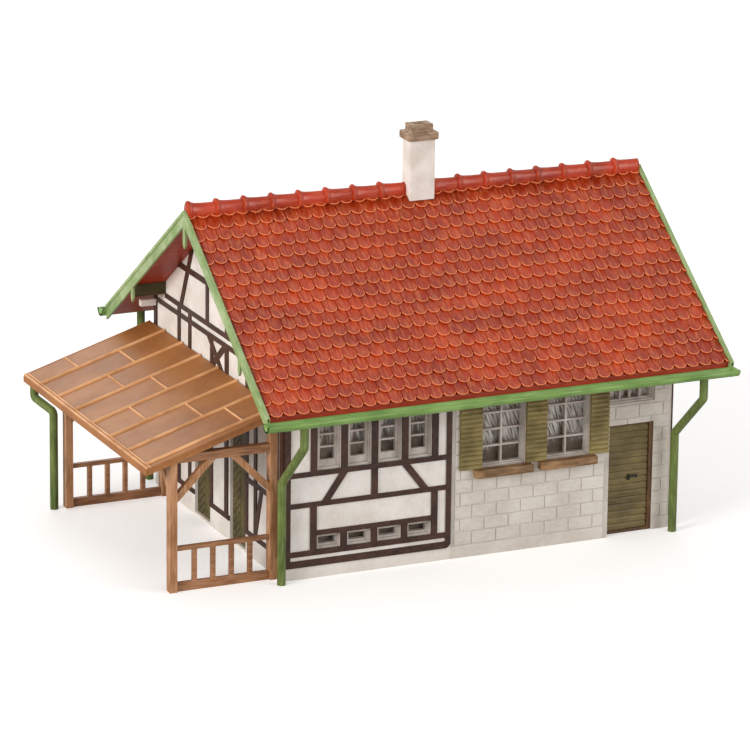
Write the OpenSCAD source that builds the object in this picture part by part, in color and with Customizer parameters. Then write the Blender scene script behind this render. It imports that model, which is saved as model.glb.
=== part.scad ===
// Half-timbered cottage with a side porch, a plastic railway-scale building.
// Every piece is modelled in millimetres at the size of the model itself.
// X runs along the front wall, Y from the front wall to the rear, Z up.
// The origin is the middle of the house footprint on the ground.

/* [House] */
// Length of the house along the front wall
house_l = 84.6; // [70:0.2:110]
// Depth of the house from the front wall to the rear wall
house_w = 66.6; // [54:0.2:90]
// Thickness of the moulded wall panels
wall_t = 1.6; // [1.2:0.1:2.4]
// Length of the half-timbered part of the front wall
timber_l = 35.5; // [33:0.1:42]
// Width of the set-back door bay at the right end of the front wall
bay_l = 14.4; // [13:0.1:18]
// Set-back of the door bay behind the front wall
bay_back = 1.4; // [0.8:0.1:1.5]
// Thickness of the floor plate inside the walls
floor_t = 1; // [0.8:0.1:2]

/* [Roof] */
// Height of the roof surface at the ridge
ridge_z = 66.6; // [60:0.2:80]
// Pitch of both roof slopes in degrees
pitch = 35.8; // [30:0.1:42]
// Thickness of a roof slope, tiles included
roof_t = 1.8; // [1.4:0.1:2.4]
// Overhang of the eaves past the front and rear walls
eave_over = 8.6; // [6:0.1:12]
// Overhang of the verge at the porch end, verge board included
verge_l = 7.6; // [5:0.1:11]
// Overhang of the verge at the door end, verge board included
verge_r = 8.3; // [5:0.1:11]
// Radius of the half-round ridge caps
ridge_r = 2.3; // [1.8:0.1:3]
// Thickness of the verge boards
barge_t = 0.8; // [0.6:0.1:1.4]
// Height of the verge boards square to the slope
barge_h = 2.5; // [2:0.1:4]
// Rise of the verge boards above the tiles
barge_up = 0.3; // [0:0.1:0.6]

/* [Chimney] */
// Width of the chimney shaft along the ridge
stack_l = 5.5; // [4.5:0.1:7]
// Depth of the chimney shaft across the ridge
stack_w = 3.7; // [3.2:0.1:5]
// Height of the shaft's top above the ridge
stack_h = 10.4; // [8:0.2:14]
// Distance from the porch end of the house to the shaft
stack_x = 40; // [30:0.5:50]
// Overhang of the lower cap slab
cap_over = 0.55; // [0.4:0.05:0.8]
// Height of each of the two cap slabs
cap_h = 1.6; // [1.2:0.1:2]

/* [Openings] */
// Width of the tall and the low windows between the studs
case_w = 5.1; // [4.6:0.1:5.4]
// Spacing of the studs in the half-timbered front
stud_p = 6.45; // [6.3:0.05:6.8]
// Sill height of the tall windows
tall_z = 21.8; // [20:0.1:24]
// Height of the tall windows
tall_h = 12.8; // [10:0.1:13.5]
// Sill height of the low windows
low_z = 5.8; // [5.4:0.1:6.4]
// Height of the low windows
low_h = 2.9; // [2.4:0.1:3.2]
// Width of the two windows in the block wall
win_w = 9.6; // [8:0.1:10]
// Height of the windows in the block wall
win_h = 14.6; // [12:0.1:17]
// Height of the top of the block wall's window sills
sill_z = 18.1; // [16:0.1:20]
// Height of the front door opening
door_h = 22.8; // [20:0.1:25]
// Height of the two porch doors
pdoor_h = 24; // [20:0.1:26]

/* [Trim] */
// Projection of the brown timbers in front of the walls
timber_r = 0.4; // [0.3:0.05:0.6]
// Width of the vertical timbers
stud_w = 1.35; // [1.1:0.05:1.6]
// Height of the horizontal timbers
rail_h = 1; // [0.8:0.05:1.3]
// Thickness of the shutters
shut_t = 0.8; // [0.6:0.1:1.2]
// Outer radius of the gutters
gutter_r = 1.5; // [1.2:0.1:2]
// Radius of the downpipes
pipe_r = 0.85; // [0.6:0.05:1]
// Clearance round each window frame and door leaf in its opening
fit_gap = 0.05; // [0.03:0.01:0.1]

/* [Porch] */
// Length of the porch roof away from the house, measured level
porch_l = 28; // [22:0.2:36]
// Height of the top of the porch roof at the house
porch_z = 34.5; // [31:0.1:36]
// Pitch of the porch roof in degrees
porch_pitch = 17.3; // [12:0.1:19]
// Thickness of the porch roof
porch_t = 1.3; // [1:0.1:2]
// Distance from the front wall's face to the porch roof's front edge
porch_y0 = 1.5; // [0.8:0.1:3]
// Overhang of the porch roof past the rear wall's face
porch_rear = 2; // [0:0.1:4]
// Width of a porch post along the length of the house
post_a = 1.5; // [1.2:0.1:2]
// Width of a porch post across the house
post_b = 2; // [1.4:0.1:2.4]
// Height of the porch rails
prail_h = 9.1; // [7:0.1:12]

/* [Hidden] */
$fn = 32;
tp = tan(pitch);
roof_v = roof_t / cos(pitch);
barge_v = barge_h / cos(pitch);
mid = house_w / 2;
main_l = house_l - bay_l;
bay_y = bay_back + wall_t;
roof_x0 = -verge_l + barge_t;
roof_x1 = house_l + verge_r - barge_t;
eave_z = ridge_z - (mid + eave_over) * tp;
// back of the window frames, the panes and the printed card
frame_t = 0.3;
pane_t = 0.25;
card_t = 0.25;
// studs of the half-timbered front, left edges
stud0 = 5.45;
// ends of the wall plates past the porch gable
plate_out = 3.6;
// windows of the block wall
win_x1 = main_l - 28.2;
win_x2 = win_x1 + 14.1;
sill_h = 1.7;
sill_d = 2;
// door bay
dx0 = main_l + 0.4;
dx1 = house_l - 3.8;
door_z = 0.6;
frame_w = 0.9;
trans_z = 27.2;
trans_h = 5.2;
// porch doors
pd_y = [36.9, 18.6];
pd_w = 8;
// purlins under the verges
pur_w = 2.1;
pur_h = 2.7;
pur_y = 4;
pur_z = z_under(pur_y + pur_w) - pur_h;
gut_y = -eave_over - gutter_r;
gut_z = eave_z - 0.9;
gut_t = 0.4;
elbow_r = 1.12 * pipe_r;
// porch
porch_w = house_w + porch_rear - porch_y0;
pt = tan(porch_pitch);
porch_v = porch_t / cos(porch_pitch);
post_x = [-22.9, -0.6 - post_a];
post_y = [porch_y0 + 0.3, house_w - 8.8];
beam_z = 26;
brace_l = 7.2;
brace_w = 1.3;

function z_top(y) = ridge_z - abs(y - mid) * tp;
function z_under(y) = z_top(y) - roof_v;
function porch_top(x) = porch_z + x * pt;
function porch_under(x) = porch_top(x) - porch_v;
function mirror_y(y) = house_w - y;

// ---------- helpers ----------
// puts the corner of the front wall at its place round the origin
module house() { translate([-house_l / 2, -house_w / 2, 0]) children(); }
// a YZ outline drawn out along X, and an XZ outline drawn out along Y
module along_x(x0, x1) {
    translate([x0, 0, 0]) rotate([90, 0, 90]) linear_extrude(x1 - x0) children();
}
module along_y(y0, y1) {
    translate([0, y1, 0]) rotate([90, 0, 0]) linear_extrude(y1 - y0) children();
}
module box(a, b) { translate(a) cube(b - a); }
// a flat rectangle and a flat bar between two points
module rect(a, b) { translate(a) square(b - a); }
module bar(a, b, w) {
    translate(a) rotate(atan2(b[1] - a[1], b[0] - a[0]))
        translate([0, -w / 2]) square([norm(b - a), w]);
}
// outline of the space under both slopes between two depths
module under_roof(y0, y1, z0 = 0) {
    polygon([[y0, z0], [y1, z0], [y1, z_under(y1)], [mid, z_under(mid)], [y0, z_under(y0)]]);
}
// outline of a wall under one eave, its top following the slope
module eave_wall(y0, y1) {
    polygon([[y0, 0], [y1, 0], [y1, z_under(y1)], [y0, z_under(y0)]]);
}
module eave_wall_rear() polygon([[house_w - wall_t, 0], [house_w, 0],
    [house_w, z_under(house_w)], [house_w - wall_t, z_under(house_w - wall_t)]]);
// a round rod between two points with a ball at its start
module rod(a, b, r, ball) {
    d = b - a;
    translate(a) {
        rotate([0, acos(d[2] / norm(d)), atan2(d[1], d[0])]) cylinder(h = norm(d), r = r);
        sphere(r = ball);
    }
}

// ---------- walls ----------
module house_floor() color("#8a8378") house() linear_extrude(floor_t)
    polygon([[wall_t, wall_t], [main_l - wall_t, wall_t], [main_l - wall_t, bay_y],
        [house_l - wall_t, bay_y], [house_l - wall_t, house_w - wall_t],
        [wall_t, house_w - wall_t]]);

// flat openings of the half-timbered front
module tall_open(gap = 0) for (i = [0:3])
    rect([stud0 + stud_w + i * stud_p + gap, tall_z + gap],
        [stud0 + stud_w + i * stud_p + case_w - gap, tall_z + tall_h - gap]);
module low_open(gap = 0) for (i = [0:3])
    rect([stud0 + stud_w + i * stud_p + gap, low_z + gap],
        [stud0 + stud_w + i * stud_p + case_w - gap, low_z + low_h - gap]);
module plate_end() box([-plate_out, 0, z_under(0) - 1.9], [0.01, wall_t - 0.3, z_under(0) - 0.6]);
module front_timber_wall() color("#e9e4dd") house() difference() {
    union() {
        along_x(0, timber_l) eave_wall(0, wall_t);
        plate_end();
    }
    along_y(-1, wall_t + 1) { tall_open(); low_open(); }
}

// flat openings of the block wall and of the door bay
module win_open(gap = 0) for (x = [win_x1, win_x2])
    rect([x + gap, sill_z + gap], [x + win_w - gap, sill_z + win_h - gap]);
module door_open(gap = 0) rect([dx0 + gap, -1], [dx1 - gap, door_h - gap]);
module trans_open(gap = 0) rect([dx0 + gap, trans_z + gap], [dx1 - gap, trans_z + trans_h - gap]);
module front_block_wall() color("#ece8e2") house() difference() {
    union() {
        along_x(timber_l, main_l) eave_wall(0, wall_t);
        along_x(main_l - wall_t, main_l) eave_wall(0, bay_y);
        along_x(main_l - wall_t, house_l) eave_wall(bay_back, bay_y);
    }
    along_y(-1, wall_t + 1) win_open();
    along_y(bay_back - 0.5, bay_y + 1) { door_open(); trans_open(); }
}

// flat openings of the porch doors
module pdoor_open(gap = 0) for (y = pd_y)
    rect([y + gap, door_z + gap], [y + pd_w - gap, door_z + pdoor_h - gap]);
module purlin_face() polygon([[pur_y, pur_z], [pur_y + pur_w, pur_z],
    [pur_y + pur_w, z_under(pur_y + pur_w)], [pur_y, z_under(pur_y)]]);
module purlin_open() {
    rect([pur_y, pur_z], [pur_y + pur_w, pur_z + pur_h + 3]);
    rect([mirror_y(pur_y) - pur_w, pur_z], [mirror_y(pur_y), pur_z + pur_h + 3]);
}
module porch_gable_wall() color("#e9e4dd") house() along_x(0, wall_t) difference() {
    under_roof(wall_t, house_w - wall_t);
    pdoor_open();
    purlin_open();
}
module door_gable_wall() color("#e9e4dd") house() along_x(house_l - wall_t, house_l)
    difference() {
        under_roof(bay_y, house_w - wall_t);
        purlin_open();
    }

// flat openings of the rear wall: three windows like the ones of the block wall
rear_x = [12.5, 37.5, 62.5];
module rear_open(gap = 0) for (x = rear_x)
    rect([x + gap, sill_z + gap], [x + win_w - gap, sill_z + win_h - gap]);
module rear_wall() color("#e9e4dd") house() difference() {
    union() {
        along_x(0, house_l) eave_wall_rear();
        translate([0, house_w, 0]) mirror([0, 1, 0]) plate_end();
    }
    along_y(house_w - wall_t - 1, house_w + 1) rear_open();
}

// ---------- timbers ----------
module front_frame() {
    top = min(36, z_under(-timber_r));
    rect([0, 2.5], [1.25, top]);
    rect([timber_l - 1.1, 3.3], [timber_l, top]);
    // twin sill beams, the lower one with a rounded end
    difference() {
        rect([0, 2.5], [timber_l, 3.9]);
        difference() {
            rect([timber_l - 1.2, 2.4], [timber_l + 0.1, 3.7]);
            translate([timber_l - 1.2, 3.7]) circle(r = 1.2);
        }
    }
    rect([0, 4.7], [timber_l - 0.5, low_z]);
    rect([0.6, 3.8], [1.25, 4.8]);
    rect([stud0 + stud_w, low_z + low_h], [stud0 + 4 * stud_p, low_z + low_h + rail_h]);
    rect([0, 14.6], [timber_l, 14.6 + rail_h]);
    rect([0, tall_z - rail_h], [timber_l, tall_z]);
    for (i = [0:4]) rect([stud0 + i * stud_p, tall_z - 0.1], [stud0 + i * stud_p + stud_w, top]);
    for (i = [0:4]) rect([stud0 + i * stud_p, low_z - 0.1],
        [stud0 + i * stud_p + stud_w, i == 0 || i == 4 ? 14.7 : low_z + low_h + 0.1]);
    rect([stud0 + 2 * stud_p, 14.7], [stud0 + 2 * stud_p + stud_w, tall_z - 0.1]);
    bar([stud0 + stud_p + 0.9, tall_z - 0.5], [8.4, 15.1], stud_w);
    bar([stud0 + 3 * stud_p + 0.5, tall_z - 0.5], [30.1, 15.1], stud_w);
}
module front_timbers() color("#4a3330") house() along_y(-timber_r, 0) front_frame();

// timbers of a gable, in YZ
beam1 = 39.3;
beam2 = 41.3;
collar = 49.6;
module gable_frame(y0, doors) intersection() {
    under_roof(y0, house_w);
    difference() {
        union() {
            rect([y0, doors ? 4.2 : 2.5], [y0 + stud_w, 45]);
            rect([house_w - stud_w, doors ? 4.2 : 2.5], [house_w, 45]);
            rect([y0, beam1], [house_w, beam1 + rail_h]);
            rect([pur_y + pur_w, beam2], [mirror_y(pur_y) - pur_w, beam2 + rail_h]);
            rect([y0, collar], [house_w, collar + rail_h + 0.2]);
            for (y = [12.8, 17.2, mirror_y(12.8) - stud_w, mirror_y(18.5) - stud_w])
                rect([y, 4.3], [y + stud_w, beam2 + 0.1]);
            for (y = [27.6, mirror_y(27.6) - stud_w]) rect([y, beam2], [y + stud_w, 66]);
            for (s = [-1, 1]) {
                bar([mid + s * 18.9, beam2 + 0.5], [mid + s * 12.6, 56], stud_w);
                bar([mid + s * 4.4, beam1 + 0.4], [mid - s * 4.4, 32.4], stud_w);
            }
            rect([27.4, 31.5], [36.6, 31.5 + rail_h]);
            rect([27.4, 4.3], [29.1, beam1 + 0.1]);
            rect([35.3, 4.3], [36.6, beam1 + 0.1]);
            rect([y0, 4.2], [house_w, 4.2 + rail_h]);
            if (doors) {
                rect([y0, 15.1], [17.4, 15.1 + rail_h]);
                rect([mirror_y(18.7), 15.1], [house_w, 15.1 + rail_h]);
                bar([10.4, 15.4], [13.7, 4.6], stud_w);
                bar([mirror_y(10.4), 15.4], [mirror_y(13.7), 4.6], stud_w);
                rect([17.4, door_z + pdoor_h], [house_w - 18.6, door_z + pdoor_h + rail_h]);
            }
            else rect([y0, 20.5], [house_w, 20.5 + rail_h]);
        }
        if (doors) for (y = pd_y)
            rect([y - 0.02, -1], [y + pd_w + 0.02, door_z + pdoor_h]);
        purlin_open();
    }
}
module porch_gable_timbers() color("#4a3330") house() along_x(-timber_r, 0)
    gable_frame(0, true);
module door_gable_timbers() color("#4a3330") house() along_x(house_l, house_l + timber_r)
    gable_frame(bay_back, false);

module rear_frame() {
    top = min(38, z_under(-timber_r));
    rect([0, 2.5], [1.25, top]);
    rect([house_l - 1.25, 2.5], [house_l, top]);
    rect([0, 2.5], [house_l, 3.9]);
    rect([0, 14.6], [house_l, 14.6 + rail_h]);
    rect([0, sill_z + win_h], [house_l, sill_z + win_h + rail_h]);
    for (x = rear_x) {
        rect([x - stud_w, 3], [x, top]);
        rect([x + win_w, 3], [x + win_w + stud_w, top]);
        rect([x - 0.1, sill_z - rail_h], [x + win_w + 0.1, sill_z]);
    }
    bar([9.5, 15], [3.5, 3.5], stud_w);
    bar([house_l - 9.5, 15], [house_l - 3.5, 3.5], stud_w);
}
module rear_timbers() color("#4a3330") house() along_y(house_w, house_w + timber_r)
    rear_frame();

// ---------- windows ----------
// one frame: outer rim, deeper sash and glazing bars, n across and m up
module casement(x, z, w, h, y0, n, m, rim = 0.45, sash = 0.55, foot = 0, bar_w = 0.35) {
    translate([x, 0, z]) {
        difference() {
            along_y(y0 + 0.25, y0 + wall_t) rect([fit_gap, fit_gap], [w - fit_gap, h - fit_gap]);
            along_y(y0, y0 + wall_t + 1) rect([rim, rim], [w - rim, h - rim]);
        }
        difference() {
            along_y(y0 + 0.8, y0 + wall_t) rect([rim - 0.01, rim - 0.01], [w - rim + 0.01, h - rim + 0.01]);
            along_y(y0, y0 + wall_t + 1) rect([rim + sash, rim + sash + foot], [w - rim - sash, h - rim - sash]);
        }
        iw = w - 2 * (rim + sash);
        ih = h - 2 * (rim + sash) - foot;
        z0 = rim + sash + foot;
        if (n > 1) for (i = [1:n - 1])
            along_y(y0 + 1, y0 + wall_t + frame_t)
                rect([rim + sash + iw * i / n - bar_w / 2, z0 - 0.1],
                    [rim + sash + iw * i / n + bar_w / 2, h - rim - sash + 0.1]);
        if (m > 1) for (j = [1:m - 1])
            along_y(y0 + 1, y0 + wall_t + frame_t)
                rect([rim + sash - 0.1, z0 + ih * j / m - bar_w / 2],
                    [w - rim - sash + 0.1, z0 + ih * j / m + bar_w / 2]);
    }
}
// backing sheet behind a row of frames, cut to the light of each
module backing(x0, x1, z0, z1, y0) along_y(y0, y0 + frame_t) difference() {
    rect([x0, z0], [x1, z1]);
    children();
}
back_x1 = stud0 + 4 * stud_p + 0.9;
module front_casements() color("#c9c4bd") house() {
    for (i = [0:3]) {
        casement(stud0 + stud_w + i * stud_p, tall_z, case_w, tall_h, 0, 1, 4, foot = 0.8);
        casement(stud0 + stud_w + i * stud_p, low_z, case_w, low_h, 0, 1, 1, 0.35, 0.4);
    }
    backing(stud0 + 0.6, back_x1, low_z - 0.6, tall_z + tall_h + 0.6, wall_t) {
        tall_open(1);
        low_open(0.75);
    }
}
module block_wall_casements() color("#c9c4bd") house() {
    for (x = [win_x1, win_x2]) casement(x, sill_z, win_w, win_h, 0, 2, 4, 0.3, 0.25);
    backing(win_x1 - 0.8, win_x2 + win_w + 0.8, sill_z - 0.8, sill_z + win_h + 0.8, wall_t)
        win_open(0.55);
}
module transom_window() color("#c9c4bd") house() {
    casement(dx0, trans_z, dx1 - dx0, trans_h, bay_back, 4, 1, 0.35, 0.35);
    backing(dx0 - 0.4, dx1 + 0.4, trans_z - 0.6, trans_z + trans_h + 0.6, bay_y)
        trans_open(0.7);
}
module rear_casements() color("#c9c4bd") house() translate([0, house_w, 0]) mirror([0, 1, 0]) {
    for (x = rear_x) casement(x, sill_z, win_w, win_h, 0, 2, 4, 0.3, 0.25);
    backing(rear_x[0] - 0.8, rear_x[2] + win_w + 0.8, sill_z - 0.8, sill_z + win_h + 0.8, wall_t)
        rear_open(0.55);
}
pane_y = wall_t + frame_t;
module front_panes() color("#9fb0b4") house() along_y(pane_y, pane_y + pane_t) {
    rect([stud0 + 0.6, low_z - 0.6], [back_x1, tall_z + tall_h + 0.6]);
    rect([back_x1 - 0.01, sill_z - 0.8], [win_x2 + win_w + 0.8, sill_z + win_h + 0.8]);
}
module transom_pane() color("#9fb0b4") house() translate([0, bay_y + frame_t, 0])
    along_y(0, pane_t) rect([dx0 - 0.4, trans_z - 0.6], [dx1 + 0.4, trans_z + trans_h + 0.6]);
module rear_panes() color("#9fb0b4") house() translate([0, house_w, 0]) mirror([0, 1, 0])
    along_y(pane_y, pane_y + pane_t)
        rect([rear_x[0] - 0.8, sill_z - 0.8], [rear_x[2] + win_w + 0.8, sill_z + win_h + 0.8]);
module curtain_card() color("#cfc8bd") house()
    along_y(pane_y + pane_t, pane_y + pane_t + card_t) {
        rect([stud0 + 0.6, low_z - 0.6], [back_x1, tall_z + tall_h + 0.6]);
        rect([back_x1 - 0.01, sill_z - 0.8], [win_x2 + win_w + 0.8, sill_z + win_h + 0.8]);
    }

// ---------- shutters, sills and doors ----------
module shutter(x0, x1) color("#6b6a35") house()
    box([x0, -shut_t, sill_z], [x1, 0, sill_z + win_h]);
module left_shutter() shutter(win_x1 - 4.8, win_x1);
module middle_shutter() shutter(win_x1 + win_w, win_x2);
module right_shutter() shutter(win_x2 + win_w, main_l - 0.4);
module window_sill(x) color("#8b6a4c") house() translate([x, 0, sill_z - sill_h])
    difference() {
        box([-1.7, -sill_d, 0], [min(win_w + 1.1, win_x2 - win_x1 - 1.9), 0, sill_h]);
        // rounded front corner at the porch end
        difference() {
            box([-1.8, -sill_d - 0.1, -1], [-0.9, -sill_d + 0.8, sill_h + 1]);
            translate([-0.9, -sill_d + 0.8, -2]) cylinder(h = sill_h + 4, r = 0.8);
        }
    }
module left_window_sill() window_sill(win_x1);
module right_window_sill() window_sill(win_x2);

module front_door_frame() color("#5b3a26") house() along_y(bay_back + 0.2, bay_y) difference() {
    rect([dx0 + fit_gap, 0], [dx1 - fit_gap, door_h - fit_gap]);
    rect([dx0 + 0.4, door_z], [dx1 - frame_w, door_h - 0.4]);
}
module front_door() color("#6b6a35") house() {
    box([dx0 + 0.4 + fit_gap, bay_back + 0.5, door_z],
        [dx1 - frame_w - fit_gap, bay_y - 0.2, door_h - 0.4 - fit_gap]);
    // moulded lever handle
    box([dx0 + 4.8, bay_back + 0.1, 11.5], [dx0 + 6.8, bay_back + 0.4, 12]);
    box([dx0 + 4.8, bay_back + 0.1, 10.9], [dx0 + 5.3, bay_back + 0.6, 12]);
}
module porch_doors() color("#5f5b30") house() {
    along_x(0.5, wall_t) pdoor_open(fit_gap);
    box([wall_t, pd_y[1] - 0.8, floor_t], [wall_t + 0.5, pd_y[0] + pd_w + 0.8,
        door_z + pdoor_h + 0.8]);
}

// ---------- roof ----------
module front_roof_slope() color("#b5391f") house() along_x(roof_x0, roof_x1)
    polygon([[-eave_over, eave_z], [mid, ridge_z], [mid, ridge_z - roof_v],
        [-eave_over, eave_z - roof_v]]);
module rear_roof_slope() color("#b5391f") house() translate([0, house_w, 0])
    mirror([0, 1, 0]) along_x(roof_x0, roof_x1)
        polygon([[-eave_over, eave_z], [mid, ridge_z], [mid, ridge_z - roof_v],
            [-eave_over, eave_z - roof_v]]);
module cap_line() difference() {
    translate([mid, ridge_z - 0.1]) circle(r = ridge_r);
    polygon([[0, eave_z - 20], [0, z_top(0)], [mid, ridge_z], [house_w, z_top(house_w)],
        [house_w, eave_z - 20]]);
}
module left_ridge_caps() color("#b5391f") house() along_x(roof_x0, stack_x) cap_line();
module right_ridge_caps() color("#b5391f") house()
    along_x(stack_x + stack_l, roof_x1) cap_line();

// verge board on the front slope, with the hanging point at its purlin
module verge_face(apex) {
    y0 = -eave_over - 0.3;
    top = barge_up;
    tip = pur_z - 1.2;
    yc = pur_y + 1.4;
    polygon([[y0, z_top(y0) + top - barge_v], [mid, ridge_z + top - barge_v],
        [mid, ridge_z + top], [y0, z_top(y0) + top]]);
    polygon([[yc - 0.5, z_top(yc) - 2], [yc - 0.5, tip + 1], [yc, tip], [yc + 0.5, tip + 1],
        [yc + 0.5, z_top(yc) - 2]]);
    if (apex) difference() {
        polygon([[mid - 0.6, ridge_z - 2], [mid - 0.6, ridge_z - 6.6], [mid, ridge_z - 7.6],
            [mid + 0.6, ridge_z - 6.6], [mid + 0.6, ridge_z - 2]]);
        polygon([[mid, ridge_z + top - barge_v], [mid + 2, z_top(mid + 2) + top - barge_v],
            [mid + 2, ridge_z], [mid, ridge_z]]);
    }
}
module verge(x, rear, apex) color("#9cbf7a") house()
    translate([0, rear ? house_w : 0, 0]) mirror([0, rear ? 1 : 0, 0])
        along_x(x, x + barge_t) verge_face(apex);
module porch_verge_front() verge(-verge_l, false, true);
module porch_verge_rear() verge(-verge_l, true, false);
module door_verge_front() verge(roof_x1, false, true);
module door_verge_rear() verge(roof_x1, true, false);
module front_purlin() color("#2f3d22") house() along_x(roof_x0, roof_x1) purlin_face();
module rear_purlin() color("#2f3d22") house() translate([0, house_w, 0])
    mirror([0, 1, 0]) along_x(roof_x0, roof_x1) purlin_face();

// ---------- chimney ----------
stack_y = mid - 2.6;
module chimney_shaft() color("#e4e0dc") house() difference() {
    along_x(stack_x, stack_x + stack_l)
        polygon([[stack_y, z_top(stack_y)], [mid, ridge_z],
            [stack_y + stack_w, z_top(stack_y + stack_w)],
            [stack_y + stack_w, ridge_z + stack_h], [stack_y, ridge_z + stack_h]]);
    translate([stack_x + stack_l / 2 - 1.3, stack_y + stack_w / 2 - 0.7, ridge_z + 1])
        cube([2.6, 1.4, stack_h]);
}
module chimney_cap() color("#7a6350") house()
    translate([stack_x + stack_l / 2, stack_y + stack_w / 2, ridge_z + stack_h]) difference() {
        union() {
            translate([-stack_l / 2 - cap_over, -stack_w / 2 - cap_over, 0])
                cube([stack_l + 2 * cap_over, stack_w + 2 * cap_over, cap_h]);
            translate([-stack_l / 2 + 0.3, -stack_w / 2 + 0.3, cap_h - 0.01])
                cube([stack_l - 0.6, stack_w - 0.6, cap_h]);
        }
        translate([-1.3, -0.7, -1]) cube([2.6, 1.4, 3 * cap_h]);
    }

// ---------- gutters and pipes ----------
module gutter() {
    along_x(-verge_l - 0.6, house_l + verge_r) difference() {
        translate([gut_y, gut_z]) circle(r = gutter_r);
        translate([gut_y, gut_z]) circle(r = gutter_r - gut_t);
        rect([gut_y - 3, gut_z], [gut_y + 3, gut_z + 3]);
    }
    for (x = [-verge_l - 0.6, house_l + verge_r - gut_t]) along_x(x, x + gut_t) difference() {
        translate([gut_y, gut_z]) circle(r = gutter_r - 0.1);
        rect([gut_y - 3, gut_z], [gut_y + 3, gut_z + 3]);
    }
}
module front_gutter() color("#7fb05a") house() gutter();
module rear_gutter() color("#7fb05a") house() translate([0, house_w, 0])
    mirror([0, 1, 0]) gutter();
// a stub under the gutter, a slant back to the wall, then straight down
module downpipe(x0, x1, y_wall) difference() {
    a = [x0, gut_y, gut_z - 5.4];
    b = [x1, y_wall, gut_z - 14.8];
    union() {
        translate(a) cylinder(h = 5, r = pipe_r);
        rod(a, b, 0.9 * pipe_r, elbow_r);
        translate(b) sphere(r = elbow_r);
        translate([b[0], b[1], 0]) cylinder(h = b[2], r = pipe_r);
    }
    along_x(x0 - 3, x0 + 3) translate([gut_y, gut_z]) circle(r = gutter_r);
}
module front_left_downpipe() color("#5e8a45") house() downpipe(-0.2, -1.1, -1.5);
module front_right_downpipe() color("#5e8a45") house()
    downpipe(house_l + 1, house_l - 0.4, -1.2);
module rear_left_downpipe() color("#5e8a45") house() translate([0, house_w, 0])
    mirror([0, 1, 0]) downpipe(0.8, -0.1, -3.2);
module rear_right_downpipe() color("#5e8a45") house() translate([0, house_w, 0])
    mirror([0, 1, 0]) downpipe(house_l + 1, house_l - 0.4, -1.6);

// ---------- porch ----------
module porch_roof() color("#b8824f") house() along_y(porch_y0, porch_y0 + porch_w)
    polygon([[-porch_l, porch_under(-porch_l)], [-timber_r, porch_under(-timber_r)],
        [-timber_r, porch_top(-timber_r)], [-porch_l, porch_top(-porch_l)]]);
// a post with its knee brace along the frame and, at the eave, one under the eave beam
module post(i, j) {
    x = post_x[i];
    y = post_y[j];
    s = i == 0 ? 1 : -1;
    xf = i == 0 ? x + post_a : x;
    t = j == 0 ? 1 : -1;
    yf = j == 0 ? y + post_b : y;
    along_y(y, y + post_b) polygon([[x, 0], [x + post_a, 0],
        [x + post_a, porch_under(x + post_a)], [x, porch_under(x)]]);
    along_y(y + 0.4, y + post_b - 0.4) difference() {
        bar([xf - s * 0.4, beam_z - brace_l - 0.4], [xf + s * (brace_l + 1), beam_z + 1], brace_w);
        rect([-40, beam_z], [10, 60]);
        polygon([[-40, porch_under(-40)], [10, porch_under(10)], [10, 80], [-40, 80]]);
    }
    if (i == 0) along_x(x + 0.2, x + post_a - 0.2) difference() {
        bar([yf - t * 0.3, beam_z - 5.2], [yf + t * 4.6, beam_z - 0.3], brace_w);
        rect([-10, eave_beam_z], [90, 60]);
    }
}
eave_beam_z = beam_z - 1.6;
module porch_post(i, j) color("#9a6138") house() post(i, j);
module porch_front_left_post() porch_post(0, 0);
module porch_front_right_post() porch_post(1, 0);
module porch_rear_left_post() porch_post(0, 1);
module porch_rear_right_post() porch_post(1, 1);
module porch_beam(j) color("#9a6138") house()
    along_y(post_y[j] + 0.2, post_y[j] + post_b - 0.2) intersection() {
        rect([post_x[0] + post_a, beam_z], [post_x[1], beam_z + 1.7]);
        polygon([[-40, porch_under(-40)], [10, porch_under(10)], [10, 0], [-40, 0]]);
    }
module porch_front_beam() porch_beam(0);
module porch_rear_beam() porch_beam(1);
module porch_eave_beam() color("#9a6138") house() along_y(post_y[0] + post_b, post_y[1])
    polygon([[post_x[0], eave_beam_z], [post_x[0] + post_a, eave_beam_z],
        [post_x[0] + post_a, porch_under(post_x[0] + post_a)],
        [post_x[0], porch_under(post_x[0])]]);
module porch_rail(j) color("#9a6138") house()
    along_y(post_y[j] + 0.5, post_y[j] + post_b - 0.5) {
        x0 = post_x[0] + post_a;
        x1 = post_x[1];
        rect([x0, 0], [x1, 1.8]);
        rect([x0, prail_h - 0.9], [x1, prail_h]);
        for (k = [1:4]) rect([x0 + (x1 - x0) * k / 5 - 0.45, 1.7],
            [x0 + (x1 - x0) * k / 5 + 0.45, prail_h - 0.8]);
    }
module porch_front_rail() porch_rail(0);
module porch_rear_rail() porch_rail(1);
pp = [[-26.8, house_w - 1, porch_under(-26.8)], [-25.2, post_y[1] + 1, 20.5]];
module porch_downpipe() color("#5e8a45") house() difference() {
    union() {
        translate([pp[0][0], pp[0][1], pp[0][2] - 1.5]) cylinder(h = 3, r = pipe_r);
        rod([pp[0][0], pp[0][1], pp[0][2] - 1.5], pp[1], 0.9 * pipe_r, elbow_r);
        translate(pp[1]) sphere(r = elbow_r);
        translate([pp[1][0], pp[1][1], 0]) cylinder(h = pp[1][2], r = pipe_r);
    }
    along_y(house_w - 5, house_w + 5)
        polygon([[-40, porch_under(-40)], [10, porch_under(10)], [10, 80], [-40, 80]]);
}

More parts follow.
